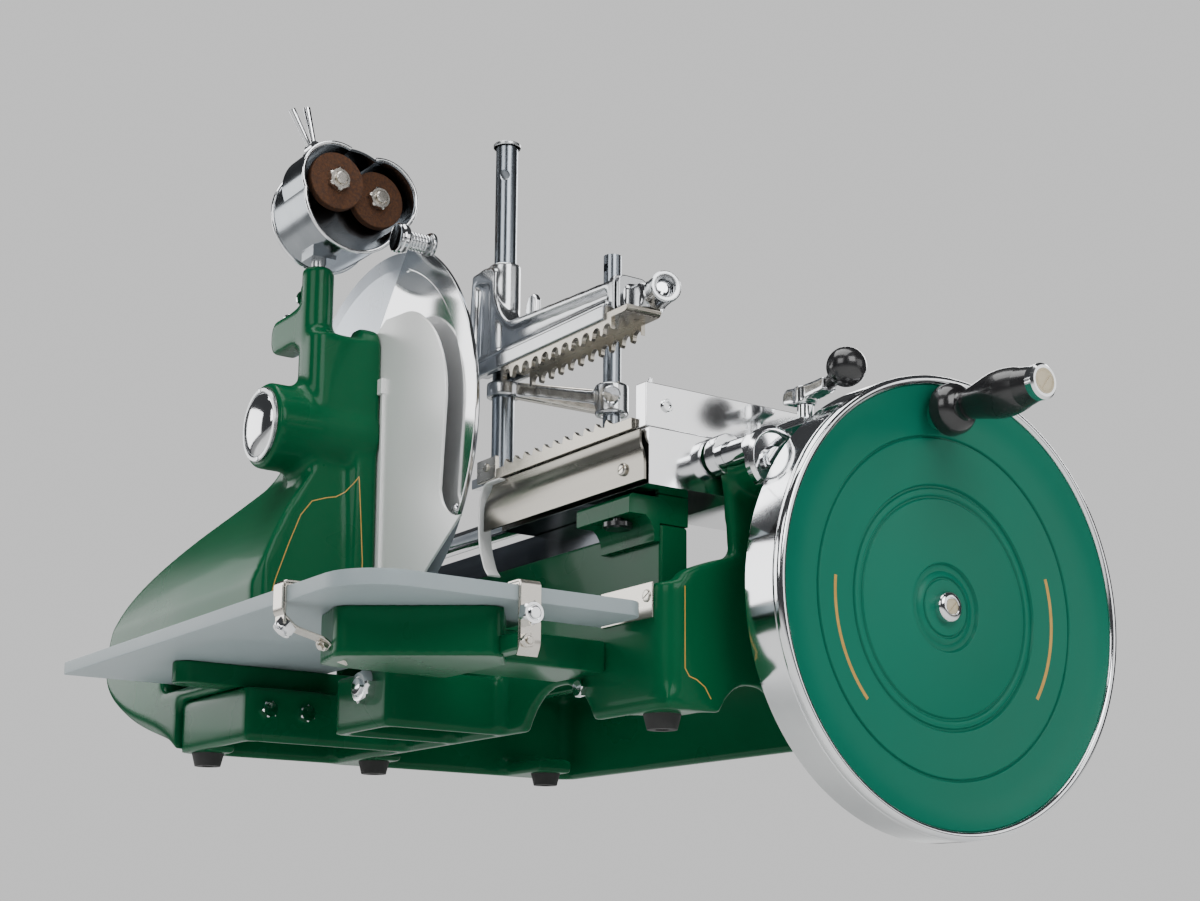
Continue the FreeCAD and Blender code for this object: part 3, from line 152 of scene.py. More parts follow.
FINISHES = {
    # finish: material, dark shade, light shade, roughness from and to, what else differs
    # green: the castings' enamel, darker than the flywheel's by painted shade
    "green": ("shaded_green_enamel", (0.0, 0.075, 0.026), (0.0, 0.092, 0.034), (0.24, 0.32),
              dict(coat=0.1, scale=6, fine=90, strength=0.02, shine=0.12)),
    # lit_green: the same enamel on the flywheel, lighter by painted light
    "lit_green": ("lit_wheel_enamel", (0.0, 0.135, 0.082), (0.0, 0.155, 0.096), (0.3, 0.38),
                     dict(scale=5, fine=110, strength=0.015, shine=0.2)),
    "chrome": ("chrome_plate", (0.76, 0.77, 0.79), (0.84, 0.85, 0.86), (0.07, 0.12),
               dict(metal=1, scale=18, fine=200, strength=0.006)),
    "mirror": ("polished_steel", (0.78, 0.79, 0.80), (0.86, 0.86, 0.87), (0.08, 0.14),
               dict(metal=1, scale=14, fine=200, strength=0.008)),
    # plate: near-white with little metal, a painted reflection of the bright light that the polished
    # plates mirror
    "plate": ("white_plate_painted_reflection", (0.93, 0.93, 0.92), (0.97, 0.97, 0.955), (0.28, 0.34),
              dict(metal=0.2, scale=8, fine=160, strength=0.006)),
    "blade": ("blade_steel", (0.62, 0.67, 0.74), (0.70, 0.75, 0.82), (0.22, 0.3),
              dict(metal=0.4, scale=12, fine=200, strength=0.008)),
    "steel": ("ground_steel", (0.40, 0.41, 0.42), (0.54, 0.55, 0.56), (0.2, 0.34),
              dict(metal=1, scale=60, stretch=BRUSHED, strength=0.02)),
    "dark_steel": ("oiled_steel", (0.07, 0.075, 0.085), (0.14, 0.145, 0.16), (0.14, 0.24),
                   dict(metal=1, scale=60, stretch=BRUSHED, strength=0.02)),
    "satin": ("nickel_sheet", (0.56, 0.53, 0.475), (0.68, 0.645, 0.585), (0.2, 0.3),
              dict(metal=1, scale=40, stretch=ROLLED, strength=0.015)),
    "nickel": ("dull_nickel", (0.26, 0.245, 0.215), (0.36, 0.34, 0.30), (0.2, 0.3),
               dict(metal=1, scale=40, stretch=ROLLED, strength=0.015)),
    "dull_chrome": ("dull_chrome", (0.24, 0.26, 0.28), (0.32, 0.34, 0.36), (0.14, 0.22),
                    dict(metal=1, strength=0.01)),
    "teeth": ("stamped_nickel", (0.40, 0.37, 0.32), (0.52, 0.49, 0.43), (0.22, 0.34),
              dict(metal=1, scale=50, strength=0.02)),
    "post": ("drawn_steel", (0.22, 0.245, 0.275), (0.30, 0.325, 0.355), (0.22, 0.3),
             dict(metal=1, scale=60, stretch=DRAWN, strength=0.015)),
    "cast": ("polished_casting", (0.44, 0.45, 0.465), (0.56, 0.57, 0.58), (0.16, 0.25),
             dict(metal=1, scale=22, fine=70, strength=0.03)),
    "black": ("black_gloss", (0.010, 0.010, 0.011), (0.016, 0.016, 0.017), (0.2, 0.3),
              dict(coat=0.4, scale=20, strength=0.02)),
    "grey": ("tray_lacquer", (0.31, 0.37, 0.39), (0.345, 0.405, 0.425), (0.36, 0.46),
             dict(scale=10, fine=350, strength=0.02, shine=0.35)),
    # iron: dark, partly from oil on the iron and partly painted shade for the gears in the shadowed
    # gap
    "iron": ("oiled_iron_painted_shade", (0.10, 0.10, 0.105), (0.2, 0.2, 0.2), (0.3, 0.5),
             dict(metal=1, scale=80, strength=0.1)),
    "rubber": ("foot_rubber", (0.018, 0.018, 0.018), (0.03, 0.03, 0.03), (0.6, 0.8),
               dict(scale=90, strength=0.2)),
    "stone": ("grit_stone", (0.036, 0.013, 0.005), (0.100, 0.038, 0.013), (0.8, 0.95),
              dict(scale=420, fine=700, strength=0.9, depth=0.0008)),
    "gold": ("gold_line", (0.50, 0.27, 0.04), (0.58, 0.34, 0.07), (0.35, 0.45),
             dict(scale=120)),
    "cream": ("cream_disc", (0.50, 0.42, 0.28), (0.60, 0.52, 0.36), (0.35, 0.45),
              dict(coat=0.4, scale=60)),
}

NODES_OF_FINISH = {
    # the castings take the enamel darkened by painted shade, the flywheel its copy lightened by
    # painted light
    "green": ["base_casting", "column_casting", "bed_rail", "stop_block", "tray_bracket",
              "tray_arm", "tray_support"],
    "lit_green": ["flywheel_disc"],
    "chrome": ["flywheel_rim", "hub_cap", "crank_pin", "guide_rod", "rod_collar",
               "lever_bracket", "release_arm", "jaw_clamp", "stone_spindle_1",
               "stone_spindle_2", "sharpener_lever_1", "sharpener_lever_2", "socket_screw",
               "knife_cap", "guard_knob"],
    "mirror": ["knife_guard", "carriage_body", "feed_table"],
    "blade": ["knife"],
    # the deflector's near-white finish is a painted reflection
    "plate": ["deflector"],
    "steel": ["knife_shaft_rod", "guard_stay", "rear_rail", "sharpener_stem", "flywheel_axle",
              "cross_shaft"],
    "dark_steel": ["slide_bar"],
    "nickel": ["carriage_apron"],
    "satin": ["wear_plate", "tray_clip_1", "tray_clip_2"],
    "teeth": ["lower_jaw", "upper_teeth"],
    "post": ["jaw_post", "guide_post"],
    "dull_chrome": ["sharpener_cup"],
    "cast": ["jaw_arm", "guide_link"],
    "black": ["crank_grip", "release_knob", "lock_knob"],
    "grey": ["tray"],
    # the gears' dark iron is partly oil and partly painted shade
    "iron": ["bevel_pinion", "bevel_gear", "crank_disc"],
    "rubber": ["foot_1", "foot_2", "foot_3", "foot_4", "foot_5"],
    "stone": ["stone_1", "stone_2"],
}


def new_material(name):
    material = bpy.data.materials.new(name)
    material.use_nodes = True
    nodes, links = material.node_tree.nodes, material.node_tree.links
    return material, nodes, links, nodes["Principled BSDF"]


def grain(nodes, links, scale, stretch, detail):
    """Noise in the piece's own coordinates, stretched along an axis for brushing."""
    place = nodes.new("ShaderNodeTexCoord")
    mapping, noise = nodes.new("ShaderNodeMapping"), nodes.new("ShaderNodeTexNoise")
    mapping.inputs["Scale"].default_value = stretch
    noise.inputs["Scale"].default_value, noise.inputs["Detail"].default_value = scale, detail
    links.new(place.outputs["Object"], mapping.inputs["Vector"])
    links.new(mapping.outputs[0], noise.inputs["Vector"])
    return noise.outputs["Fac"]


def spread(nodes, links, value, low, high):
    """The noise spread over a range of values."""
    span = nodes.new("ShaderNodeMapRange")
    span.inputs["From Min"].default_value = NOISE_LOW
    span.inputs["From Max"].default_value = NOISE_HIGH
    span.inputs["To Min"].default_value, span.inputs["To Max"].default_value = low, high
    links.new(value, span.inputs["Value"])
    return span.outputs[0]


def shades(nodes, links, value, dark, light):
    """A colour between two shades."""
    ramp = nodes.new("ShaderNodeValToRGB")
    first, last = ramp.color_ramp.elements
    first.position, last.position = NOISE_LOW, NOISE_HIGH
    first.color, last.color = (*dark, 1), (*light, 1)
    links.new(value, ramp.inputs["Fac"])
    return ramp.outputs["Color"]


def relief(nodes, links, shader, value, strength, depth):
    bump = nodes.new("ShaderNodeBump")
    bump.inputs["Strength"].default_value, bump.inputs["Distance"].default_value = strength, depth
    links.new(value, bump.inputs["Height"])
    links.new(bump.outputs[0], shader.inputs["Normal"])


def surface(name, dark, light, rough, metal=0.0, coat=0.0, scale=30, stretch=EVEN, fine=400,
            strength=0.05, depth=0.0002, shine=0.5):
    """A finish with mottled colour, uneven gloss and a fine relief."""
    material, nodes, links, shader = new_material(name)
    shader.inputs["Metallic"].default_value = metal
    shader.inputs["Specular IOR Level"].default_value = shine
    shader.inputs["Coat Weight"].default_value = coat
    shader.inputs["Coat Roughness"].default_value = COAT_ROUGHNESS
    broad = grain(nodes, links, scale, stretch, detail=4)
    close = grain(nodes, links, fine, stretch, detail=2)
    links.new(shades(nodes, links, broad, dark, light), shader.inputs["Base Color"])
    links.new(spread(nodes, links, broad, *rough), shader.inputs["Roughness"])
    relief(nodes, links, shader, close, strength, depth)
    return material


def finish_nodes():
    """The finish of each solid, also of those that a piece replaces below."""
    for kind, names in NODES_OF_FINISH.items():
        for name in names:
            for place in frame["nodes"][name].material_slots:
                place.material = materials[kind]


# ---------------------------------------------------------------- ways of making a piece

# Edges whose faces meet at more than these angles, in degrees, stay sharp.
CREASE, BROKEN_CREASE, NUT_CREASE, SOFT_CREASE, WIRE_CREASE = 35, 40, 25, 60, 70
FACE_WEIGHT = 90
SAME_POINT = 0.0005  # millimetres
SAME_CAD_POINT = 0.00002  # metres
LEAST_RADIUS = 0.001  # keeps a turned piece's tip from falling into one point
UPRIGHT = 0.9  # an axis with more than this share of height counts as upright
CORNER_SHARE = 0.48  # of a side, for each of its rounded ends
# A painted line's spacing of points, height over its surface, depth in it, and how far in front
# of the surface the search for it starts, in millimetres.
LINE_STEP, LINE_PROUD, LINE_SUNK, LINE_START = 2.5, 0.12, 0.3, 60


def settle(piece):
    """Applies a piece's modifiers, which leaves a plain mesh."""
    bpy.context.view_layer.update()
    made = piece.evaluated_get(bpy.context.evaluated_depsgraph_get())
    mesh = bpy.data.meshes.new_from_object(made)
    piece.modifiers.clear()
    piece.data = mesh
    return piece


def shade(piece, angle=CREASE):
    """Smooth shading that keeps flat faces flat and edges over the angle sharp."""
    form = bmesh.new()
    form.from_mesh(piece.data)
    for face in form.faces:
        face.smooth = True
    for edge in form.edges:
        edge.smooth = len(edge.link_faces) == 2 and edge.calc_face_angle(0) < math.radians(angle)
    form.to_mesh(piece.data)
    form.free()
    weigh = piece.modifiers.new("weigh", "WEIGHTED_NORMAL")
    weigh.mode, weigh.weight, weigh.keep_sharp = "FACE_AREA", FACE_WEIGHT, True
    return settle(piece)


def new_piece(name, mesh, kind):
    piece = bpy.data.objects.new(name, mesh)
    piece.data.materials.clear()
    piece.data.materials.append(materials[kind])
    bpy.context.collection.objects.link(piece)
    return piece


def dressed(name, body, form, kind, angle=CREASE):
    """A finished piece from a bmesh in millimetres, riding on its body."""
    bmesh.ops.remove_doubles(form, verts=form.verts, dist=SAME_POINT)
    bmesh.ops.recalc_face_normals(form, faces=form.faces)
    bmesh.ops.scale(form, vec=(MM, MM, MM), verts=form.verts)
    mesh = bpy.data.meshes.new(name)
    form.to_mesh(mesh)
    form.free()
    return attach(shade(new_piece(name, mesh, kind), angle), body)


def square_to(direction):
    """An axis, and two directions square to it and to each other."""
    way = Vector(direction).normalized()
    across = way.cross(UP if abs(way.z) < UPRIGHT else RIGHT)
    across.normalize()
    return way, across, way.cross(across)


def skinned(rings, closed=False):
    """A skin through rings of points, capped unless the last ring joins the first."""
    form = bmesh.new()
    rows = [[form.verts.new(point) for point in ring] for ring in rings]
    pairs = list(zip(rows, rows[1:])) + ([(rows[-1], rows[0])] if closed else [])
    for low, high in pairs:
        for i in range(len(low)):
            k = (i + 1) % len(low)
            form.faces.new((low[i], low[k], high[k], high[i]))
    if not closed:
        form.faces.new(list(reversed(rows[0])))
        form.faces.new(rows[-1])
    return form


def turned(name, body, profile, at, direction, kind, steps=64, flats=0, turn=0, angle=CREASE,
           closed=False):
    """A turned piece from (radius, height) points; below the height flats it has six sides."""
    way, across, up = square_to(direction)
    rings = []
    for radius, height in profile:
        ring = []
        for i in range(steps):
            a = 2 * math.pi * i / steps
            reach = radius
            if height < flats:
                sector = math.pi / 6 - (a % (math.pi / 3))
                reach = radius * math.cos(math.pi / 6) / math.cos(sector)
            side = across * math.cos(a + turn) + up * math.sin(a + turn)
            ring.append(Vector(at) + way * height + side * max(reach, LEAST_RADIUS))
        rings.append(ring)
    return dressed(name, body, skinned(rings, closed), kind, angle)


def hexagon(name, body, at, direction, radius, height, kind="chrome", turn=0, end=0.0):
    """A hexagon head with a chamfer, or a nut with its bolt's end standing out of it by end."""
    profile = [(radius, 0), (radius, height * 0.82), (radius * 0.84, height),
               (radius * 0.62, height)]
    if end:
        profile += [(radius * 0.58, height * 0.9), (radius * 0.5, height * 0.9),
                    (radius * 0.5, height + end * 0.8), (radius * 0.42, height + end),
                    (0, height + end)]
    else:
        profile += [(0, height * 1.04)]
    return turned(name, body, profile, at, direction, kind, 48, height * 0.9, turn, NUT_CREASE)


def slotted(name, body, at, direction, radius, height, kind="chrome", turn=0.6, ring=0.0):
    """A screw with a domed head and a cut slot, and a washer where ring gives its width."""
    way, across, up = square_to(direction)
    profile = [(radius, 0), (radius, height * 0.55), (radius * 0.93, height * 0.8),
               (radius * 0.72, height * 0.95), (radius * 0.4, height), (0, height)]
    if ring:
        washer = [(radius + ring, 0), (radius + ring, height * 0.35),
                  (radius + 0.2, height * 0.35), (radius, height * 0.4)]
        profile = washer + profile[1:]
    screw = turned(name, body, profile, at, direction, kind, 48)
    side = across * math.cos(turn) + up * math.sin(turn)
    long, narrow = side * (radius * 1.6), way.cross(side) * (radius * 0.12)
    middle = Vector(at) + way * height
    corners = [[middle + way * depth + long * i + narrow * k
                for i, k in ((-1, -1), (1, -1), (1, 1), (-1, 1))]
               for depth in (-height * 0.5, height)]
    cutter = dressed(name + "_cutter", body, skinned(corners), kind)
    trim = screw.modifiers.new("slot", "BOOLEAN")
    trim.object, trim.operation, trim.solver = cutter, "DIFFERENCE", "EXACT"
    settle(screw)
    bpy.data.objects.remove(cutter)
    return shade(screw)


def rounded_path(points, radius, steps=6):
    """A path in millimetres whose corners are rounded."""
    points = [Vector(point) for point in points]
    path = [points[0]]
    for before, corner, after in zip(points, points[1:], points[2:]):
        cut = min(radius, (corner - before).length * CORNER_SHARE,
                  (after - corner).length * CORNER_SHARE)
        start = corner + (before - corner).normalized() * cut
        end = corner + (after - corner).normalized() * cut
        for i in range(steps + 1):
            t = i / steps
            path.append(start * (1 - t) ** 2 + corner * (2 * t * (1 - t)) + end * t ** 2)
    return path + [points[-1]]


def cut_corners(outline, radius):
    """An outline with each corner rounded."""
    count, rounded = len(outline), []
    for i in range(count):
        before, corner, after = (Vector(outline[(i + k) % count]) for k in (-1, 0, 1))
        bend = [(before + corner) / 2, corner, (corner + after) / 2]
        rounded += rounded_path(bend, radius, steps=5)[1:-1]
    return rounded


def swept(name, body, path, section, across, kind, closed=False, angle=CREASE):
    """A section carried along a path, with its first axis lying as near to across as it can."""
    rings = []
    for i, point in enumerate(path):
        before = path[i - 1] if i or closed else path[0]
        after = path[(i + 1) % len(path)] if i + 1 < len(path) or closed else path[-1]
        along = (after - before).normalized()
        side = (Vector(across) - along * along.dot(Vector(across))).normalized()
        out = along.cross(side)
        rings.append([point + side * a + out * b for a, b in section])
    return dressed(name, body, skinned(rings, closed), kind, angle)


def round_section(radius, steps=10):
    angles = [2 * math.pi * i / steps for i in range(steps)]
    return [(radius * math.cos(a), radius * math.sin(a)) for a in angles]


def strip_section(width, thick, bevel):
    """A flat strip's section with its corners broken."""
    w, t, b = width / 2, thick / 2, bevel
    return [(-w + b, -t), (w - b, -t), (w, -t + b), (w, t - b),
            (w - b, t), (-w + b, t), (-w, t - b), (-w, -t + b)]


def circle(at, direction, radius, steps):
    """Points of a circle round an axis, in millimetres."""
    _, across, up = square_to(direction)
    angles = [math.radians(360 * i / steps) for i in range(steps)]
    return [Vector(at) + across * (radius * math.cos(a)) + up * (radius * math.sin(a))
            for a in angles]


def copy_of(name, node, kind):
    piece = new_piece(name, frame["nodes"][node].data.copy(), kind)
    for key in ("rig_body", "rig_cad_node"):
        if key in piece:
            del piece[key]
    return piece


def softened(node, body, kind, voxel, passes, fillet, keep):
    """A casting with rounded edges and filled corners, in place of its sharp-edged solid."""
    piece = copy_of(node + "_soft", node, kind)
    for push in (fillet, -fillet, None) if fillet else (None,):
        remesh = piece.modifiers.new("remesh", "REMESH")
        remesh.mode, remesh.voxel_size = "VOXEL", voxel * MM
        if push is not None:
            offset = piece.modifiers.new("offset", "DISPLACE")
            offset.mid_level, offset.strength = 0, push * MM
    smooth = piece.modifiers.new("smooth", "SMOOTH")
    smooth.factor, smooth.iterations = 0.5, passes
    fewer = piece.modifiers.new("fewer", "DECIMATE")
    fewer.ratio = keep
    settle(piece)
    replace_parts(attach(shade(piece, SOFT_CREASE), body), node)
    return piece


def open_bores(piece, bores):
    """Widens a softened casting's upright bores again, so that it runs clear of its posts."""
    for vertex in piece.data.vertices:
        for (x, y), radius in bores:
            centre = Vector((x, y)) * MM
            across = vertex.co.xy - centre
            if 0 < across.length < radius * MM:
                vertex.co.xy = centre + across.normalized() * radius * MM


def eased(node, body, kind, width):
    """A plate or block whose sharp edges are broken, in place of its solid."""
    piece = copy_of(node + "_eased", node, kind)
    form = bmesh.new()
    form.from_mesh(piece.data)
    bmesh.ops.remove_doubles(form, verts=form.verts, dist=SAME_CAD_POINT)
    bmesh.ops.dissolve_limit(form, angle_limit=math.radians(1), verts=form.verts,
                             edges=form.edges)
    form.to_mesh(piece.data)
    form.free()
    bevel = piece.modifiers.new("bevel", "BEVEL")
    bevel.width, bevel.segments, bevel.angle_limit = width * MM, 2, math.radians(30)
    settle(piece)
    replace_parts(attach(shade(piece, BROKEN_CREASE), body), node)


def slab(name, body, outline, shift, kind, bevel):
    """A flat piece: an outline of points carried along a shift, with broken edges."""
    far = [Vector(point) + Vector(shift) for point in outline]
    piece = dressed(name, body, skinned([outline, far]), kind)
    edges = piece.modifiers.new("bevel", "BEVEL")
    edges.width, edges.segments = bevel * MM, 3
    return shade(settle(piece), BROKEN_CREASE)


def box_piece(name, body, low, high, kind, bevel):
    """A block between two corners with broken edges."""
    (x0, y0, z0), (x1, y1, z1) = low, high
    corners = [(x0, y0, z0), (x1, y0, z0), (x1, y1, z0), (x0, y1, z0)]
    return slab(name, body, corners, (0, 0, z1 - z0), kind, bevel)


def surface_of(piece):
    """A tree of a piece's faces, for laying thin lines on it."""
    return BVHTree.FromObject(piece, bpy.context.evaluated_depsgraph_get())


def gold_line(name, body, tree, points, width):
    """A thin painted line laid on a surface from its right, along points in millimetres."""
    path = []
    for first, last in zip(points, points[1:]):
        first, last = Vector(first), Vector(last)
        count = max(1, int((last - first).length / LINE_STEP))
        path += [first.lerp(last, i / count) for i in range(count)]
    path.append(Vector(points[-1]))
    rows = []
    for i, point in enumerate(path):
        start = (point + Vector(RIGHT) * LINE_START) * MM
        place, normal, _, _ = tree.ray_cast(start, Vector(LEFT))
        if place is None:
            continue
        along = path[min(i + 1, len(path) - 1)] - path[max(i - 1, 0)]
        side = along.cross(normal).normalized() * (width / 2)
        over, under = place / MM + normal * LINE_PROUD, place / MM - normal * LINE_SUNK
        rows.append([over + side, over - side, under - side, under + side])
    return dressed(name, body, skinned(rows), "gold")


# ---------------------------------------------------------------- castings, plates and blocks

JAW_POST, GUIDE_POST = (13, -112), (82, -42)
JAW_BORES = [(JAW_POST, 10.35), (GUIDE_POST, 8.35)]

SOFTENED = [
    # node, body, finish, voxel, smoothing passes, fillet, share of faces kept
    ("base_casting", "frame", "green", 2.6, 5, 4.0, 0.3),
    ("column_casting", "frame", "green", 2.2, 8, 7.0, 0.35),
    ("jaw_arm", "upper_jaw", "cast", 1.2, 5, 2.0, 0.4),
    ("guide_link", "upper_jaw", "cast", 1.2, 4, 1.5, 0.4),
    ("release_arm", "release", "chrome", 0.9, 4, 1.2, 0.5),
    ("tray_bracket", "frame", "green", 2.0, 6, 0.0, 0.4),
]

BROKEN_EDGES = [
    # node, body, finish, width of the broken edge
    ("tray", "frame", "grey", 1.2),
    ("tray_arm", "frame", "green", 3),
    ("tray_support", "frame", "green", 2),
    ("bed_rail", "frame", "green", 3),
    ("stop_block", "frame", "green", 2),
    ("slide_bar", "frame", "dark_steel", 1),
    ("carriage_body", "carriage", "mirror", 1.2),
    ("feed_table", "feed", "mirror", 1.0),
    ("deflector", "frame", "plate", 0.7),
    ("knife_guard", "frame", "mirror", 0.8),
    ("wear_plate", "frame", "satin", 0.6),
    ("tray_clip_1", "frame", "satin", 0.5),
    ("tray_clip_2", "frame", "satin", 0.5),
    ("lower_jaw", "feed", "teeth", 0.3),
    ("upper_teeth", "upper_jaw", "teeth", 0.3),
    ("lever_bracket", "carriage", "chrome", 0.6),
    ("rear_rail", "frame", "green", 1.5),
]


def dress_castings():
    """Rounded edges and filled corners on the castings, broken edges on plates and blocks."""
    casts = {row[0]: softened(*row) for row in SOFTENED}
    open_bores(casts["jaw_arm"], JAW_BORES)
    open_bores(casts["guide_link"], JAW_BORES)
    for row in BROKEN_EDGES:
        eased(*row)
    return casts


# ---------------------------------------------------------------- flywheel and crank

WHEEL_BACK, WHEEL_Y, WHEEL_Z = 309, 110, 105
CRANK_Y, CRANK_Z = 100, 263
WHEEL_STEPS, DISC_CREASE = 224, 28
ARC_PLANE, ARC_RADIUS, ARC_WIDTH, ARC_STEPS = 345, 120.5, 3.0, 40

RIM_PROFILE = [
    (182, 1), (183, 0.2), (186, 0), (187.4, 0.6), (188, 2), (188, 33.4), (187.6, 34.4),
    (187.2, 34.6), (187.6, 35), (188, 36), (188, 38.6), (187.6, 40.2), (186.6, 41.6),
    (185.2, 42.3), (183.6, 42.4), (182, 41.9), (180.8, 40.9), (180.3, 39.6), (180.3, 36),
    (182, 34),
]
DISC_PROFILE = [
    # the back, from the hub outwards
    (12, 0), (28, 0), (29.4, 0.6), (30, 2), (30, 12), (32, 15), (40, 17), (60, 19), (148, 19),
    (160, 20), (181.9, 24),
    # the front, from the rim inwards, with a groove, a double groove and the ring at the hub
    (181.9, 34), (180, 36), (180, 39.2), (178, 38.2), (172, 35.6), (164, 33.2), (154, 31.6),
    (142, 30.4), (141.2, 30.1), (140.2, 28.4), (139.4, 28.4), (138.4, 30), (137.6, 30.2),
    (124, 28.6), (110, 27.3), (102, 26.8), (101.2, 26.5), (100, 24.2), (98.6, 24.2),
    (97.4, 25.6), (96.2, 25.9), (93.6, 25.9), (92.6, 25.6), (91.4, 24.2), (90.2, 24.2),
    (89, 25.8), (88, 26.1), (60, 26.4), (38, 26.6), (36.8, 26.4), (35.2, 23.6), (32.6, 23.2),
    (30.2, 23.6), (29, 24.6), (27, 25.6), (25.6, 26), (24.6, 24.6), (23.6, 24.6), (22.6, 26),
    (12, 26.2),
]
# name, degrees from and to
GOLD_ARCS = [("gold_arc_left", 174.0, 222.6), ("gold_arc_right", -33.5, 17.6)]


def make_flywheel():
    wheel = (WHEEL_BACK, WHEEL_Y, WHEEL_Z)
    rim = turned("chrome_rim", "flywheel", RIM_PROFILE, wheel, RIGHT, "chrome", WHEEL_STEPS,
                 closed=True)
    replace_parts(rim, "flywheel_rim")
    disc = turned("enamel_disc", "flywheel", DISC_PROFILE, wheel, RIGHT, "lit_green",
                  WHEEL_STEPS, angle=DISC_CREASE, closed=True)
    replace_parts(disc, "flywheel_disc")
    turned("crank_seat", "flywheel", [(13, 0), (13, 9), (12, 10), (0, 10)],
           (339, CRANK_Y, CRANK_Z), RIGHT, "lit_green", 48)
    face = surface_of(disc)
    for name, start, end in GOLD_ARCS:
        angles = [math.radians(start + (end - start) * i / ARC_STEPS)
                  for i in range(ARC_STEPS + 1)]
        arc = [(ARC_PLANE, WHEEL_Y + ARC_RADIUS * math.cos(a), WHEEL_Z + ARC_RADIUS * math.sin(a))
               for a in angles]
        gold_line(name, "flywheel", face, arc, ARC_WIDTH)
    nut = turned("hub_nut", "flywheel", [
        (13, 0), (13, 4), (12.4, 5.6), (11, 7), (9, 7.8), (7.4, 7.9), (7, 7.4), (7, 6.2),
        (0, 6.2),
    ], (335.2, WHEEL_Y, WHEEL_Z), RIGHT, "chrome")
    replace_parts(nut, "hub_cap")
    slotted("hub_screw", "flywheel", (341.4, WHEEL_Y, WHEEL_Z), RIGHT, 6.4, 1.8, "cream", 0.8)
    slotted("grip_screw", "flywheel", (455.9, CRANK_Y, CRANK_Z), RIGHT, 8.6, 1.2, "cream", 0.9,
            ring=1.6)


# ---------------------------------------------------------------- column, knife and guard

KNIFE_X, KNIFE_Z = -155, 305
BOSS_FRONT = -268.2
GUARD_BOLT_X, GUARD_BOLT_Z = -55, 473
SPRING_RADIUS, WIRE_RADIUS, SPRING_TURNS, STEPS_PER_TURN = 7.6, 1.1, 6, 16
SPRING_BACK, SPRING_FRONT = -156.5, -176
PIN_STRIPE_WIDTH = 0.9

COLUMN_LINE = [
    (-110, -179, 132), (-110, -179, 182), (-110, -181.6, 221), (-110, -184.6, 262),
    (-110, -189, 255), (-110, -195, 247), (-110, -204, 241.4), (-110, -214, 239),
    (-110, -228.6, 233.7), (-110, -240, 219), (-110, -252, 190), (-110, -265.1, 155.2),
    (-110, -270, 136),
]


def make_column_details(column):
    boss = (KNIFE_X, BOSS_FRONT, KNIFE_Z)
    ring = turned("cap_ring", "frame", [
        (34.6, 0), (34.6, 2.2), (33.8, 3), (30.8, 3.2), (30, 2.6), (30, 0),
    ], boss, FRONT, "steel", 96, closed=True)
    dome = turned("cap_dome", "frame", [
        (30, 0), (30, 1.6), (29, 3), (26, 5.2), (21, 7.4), (15, 9), (8, 10), (0, 10.4),
    ], boss, FRONT, "chrome", 96, angle=SOFT_CREASE)
    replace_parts(ring, "knife_cap")
    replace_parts(dome, "knife_cap")
    for name, z in (("cap_screw_top", 337.2), ("cap_screw_low", 272.8)):
        slotted(name, "frame", (KNIFE_X, -271.2, z), FRONT, 2.1, 1)
    slotted("lug_screw", "frame", (-190, -225, 423.2), UP, 7.5, 5, turn=0.5, ring=1)
    slotted("ear_screw", "frame", (-120.2, -189, 387), RIGHT, 3.6, 2, turn=1.1)
    gold_line("column_line", "frame", surface_of(column), COLUMN_LINE, PIN_STRIPE_WIDTH)
    box_piece("edge_strip", "frame", (-115.4, -167.2, 118), (-111.4, -164.8, 350), "plate", 0.6)
    box_piece("edge_strip_tab", "frame", (-118.6, -169.4, 342), (-110, -164.8, 357), "plate",
              0.8)


def make_guard_details():
    slotted("guard_foot_screw", "frame", (2.5, -153.8, 212), FRONT, 4.4, 2.4, turn=0.9,
            ring=1.2)
    slotted("guard_head_screw", "frame", (-94, -151.8, 462), FRONT, 3.4, 1.4, turn=0.3)
    helix = []
    for i in range(SPRING_TURNS * STEPS_PER_TURN + 1):
        a = 2 * math.pi * i / STEPS_PER_TURN
        y = SPRING_BACK + (SPRING_FRONT - SPRING_BACK) * i / (SPRING_TURNS * STEPS_PER_TURN)
        helix.append(Vector((GUARD_BOLT_X + SPRING_RADIUS * math.cos(a), y,
                             GUARD_BOLT_Z + SPRING_RADIUS * math.sin(a))))
    swept("guard_spring", "guard_bolt", helix, round_section(WIRE_RADIUS, 8), BACK, "chrome",
          angle=WIRE_CREASE)
    turned("guard_washer", "guard_bolt", [(4.2, 0), (10, 0), (10, 1.4), (4.2, 1.4)],
           (GUARD_BOLT_X, -154.2, GUARD_BOLT_Z), FRONT, "steel", 40, closed=True)
    turned("guard_knob_dish", "guard_bolt", [
        (13.4, 0), (13.4, 1.4), (12.4, 2), (11.4, 1.6), (7, 0.8), (0, 0.6),
    ], (GUARD_BOLT_X, -186.2, GUARD_BOLT_Z), FRONT, "chrome")
    turned("knife_nut", "knife_unit", [(17, 0), (17, 5), (15, 7), (0, 7)],
           (KNIFE_X, -156.6, KNIFE_Z), FRONT, "steel", 48, flats=4.5)


# ---------------------------------------------------------------- base, carriage and feed table

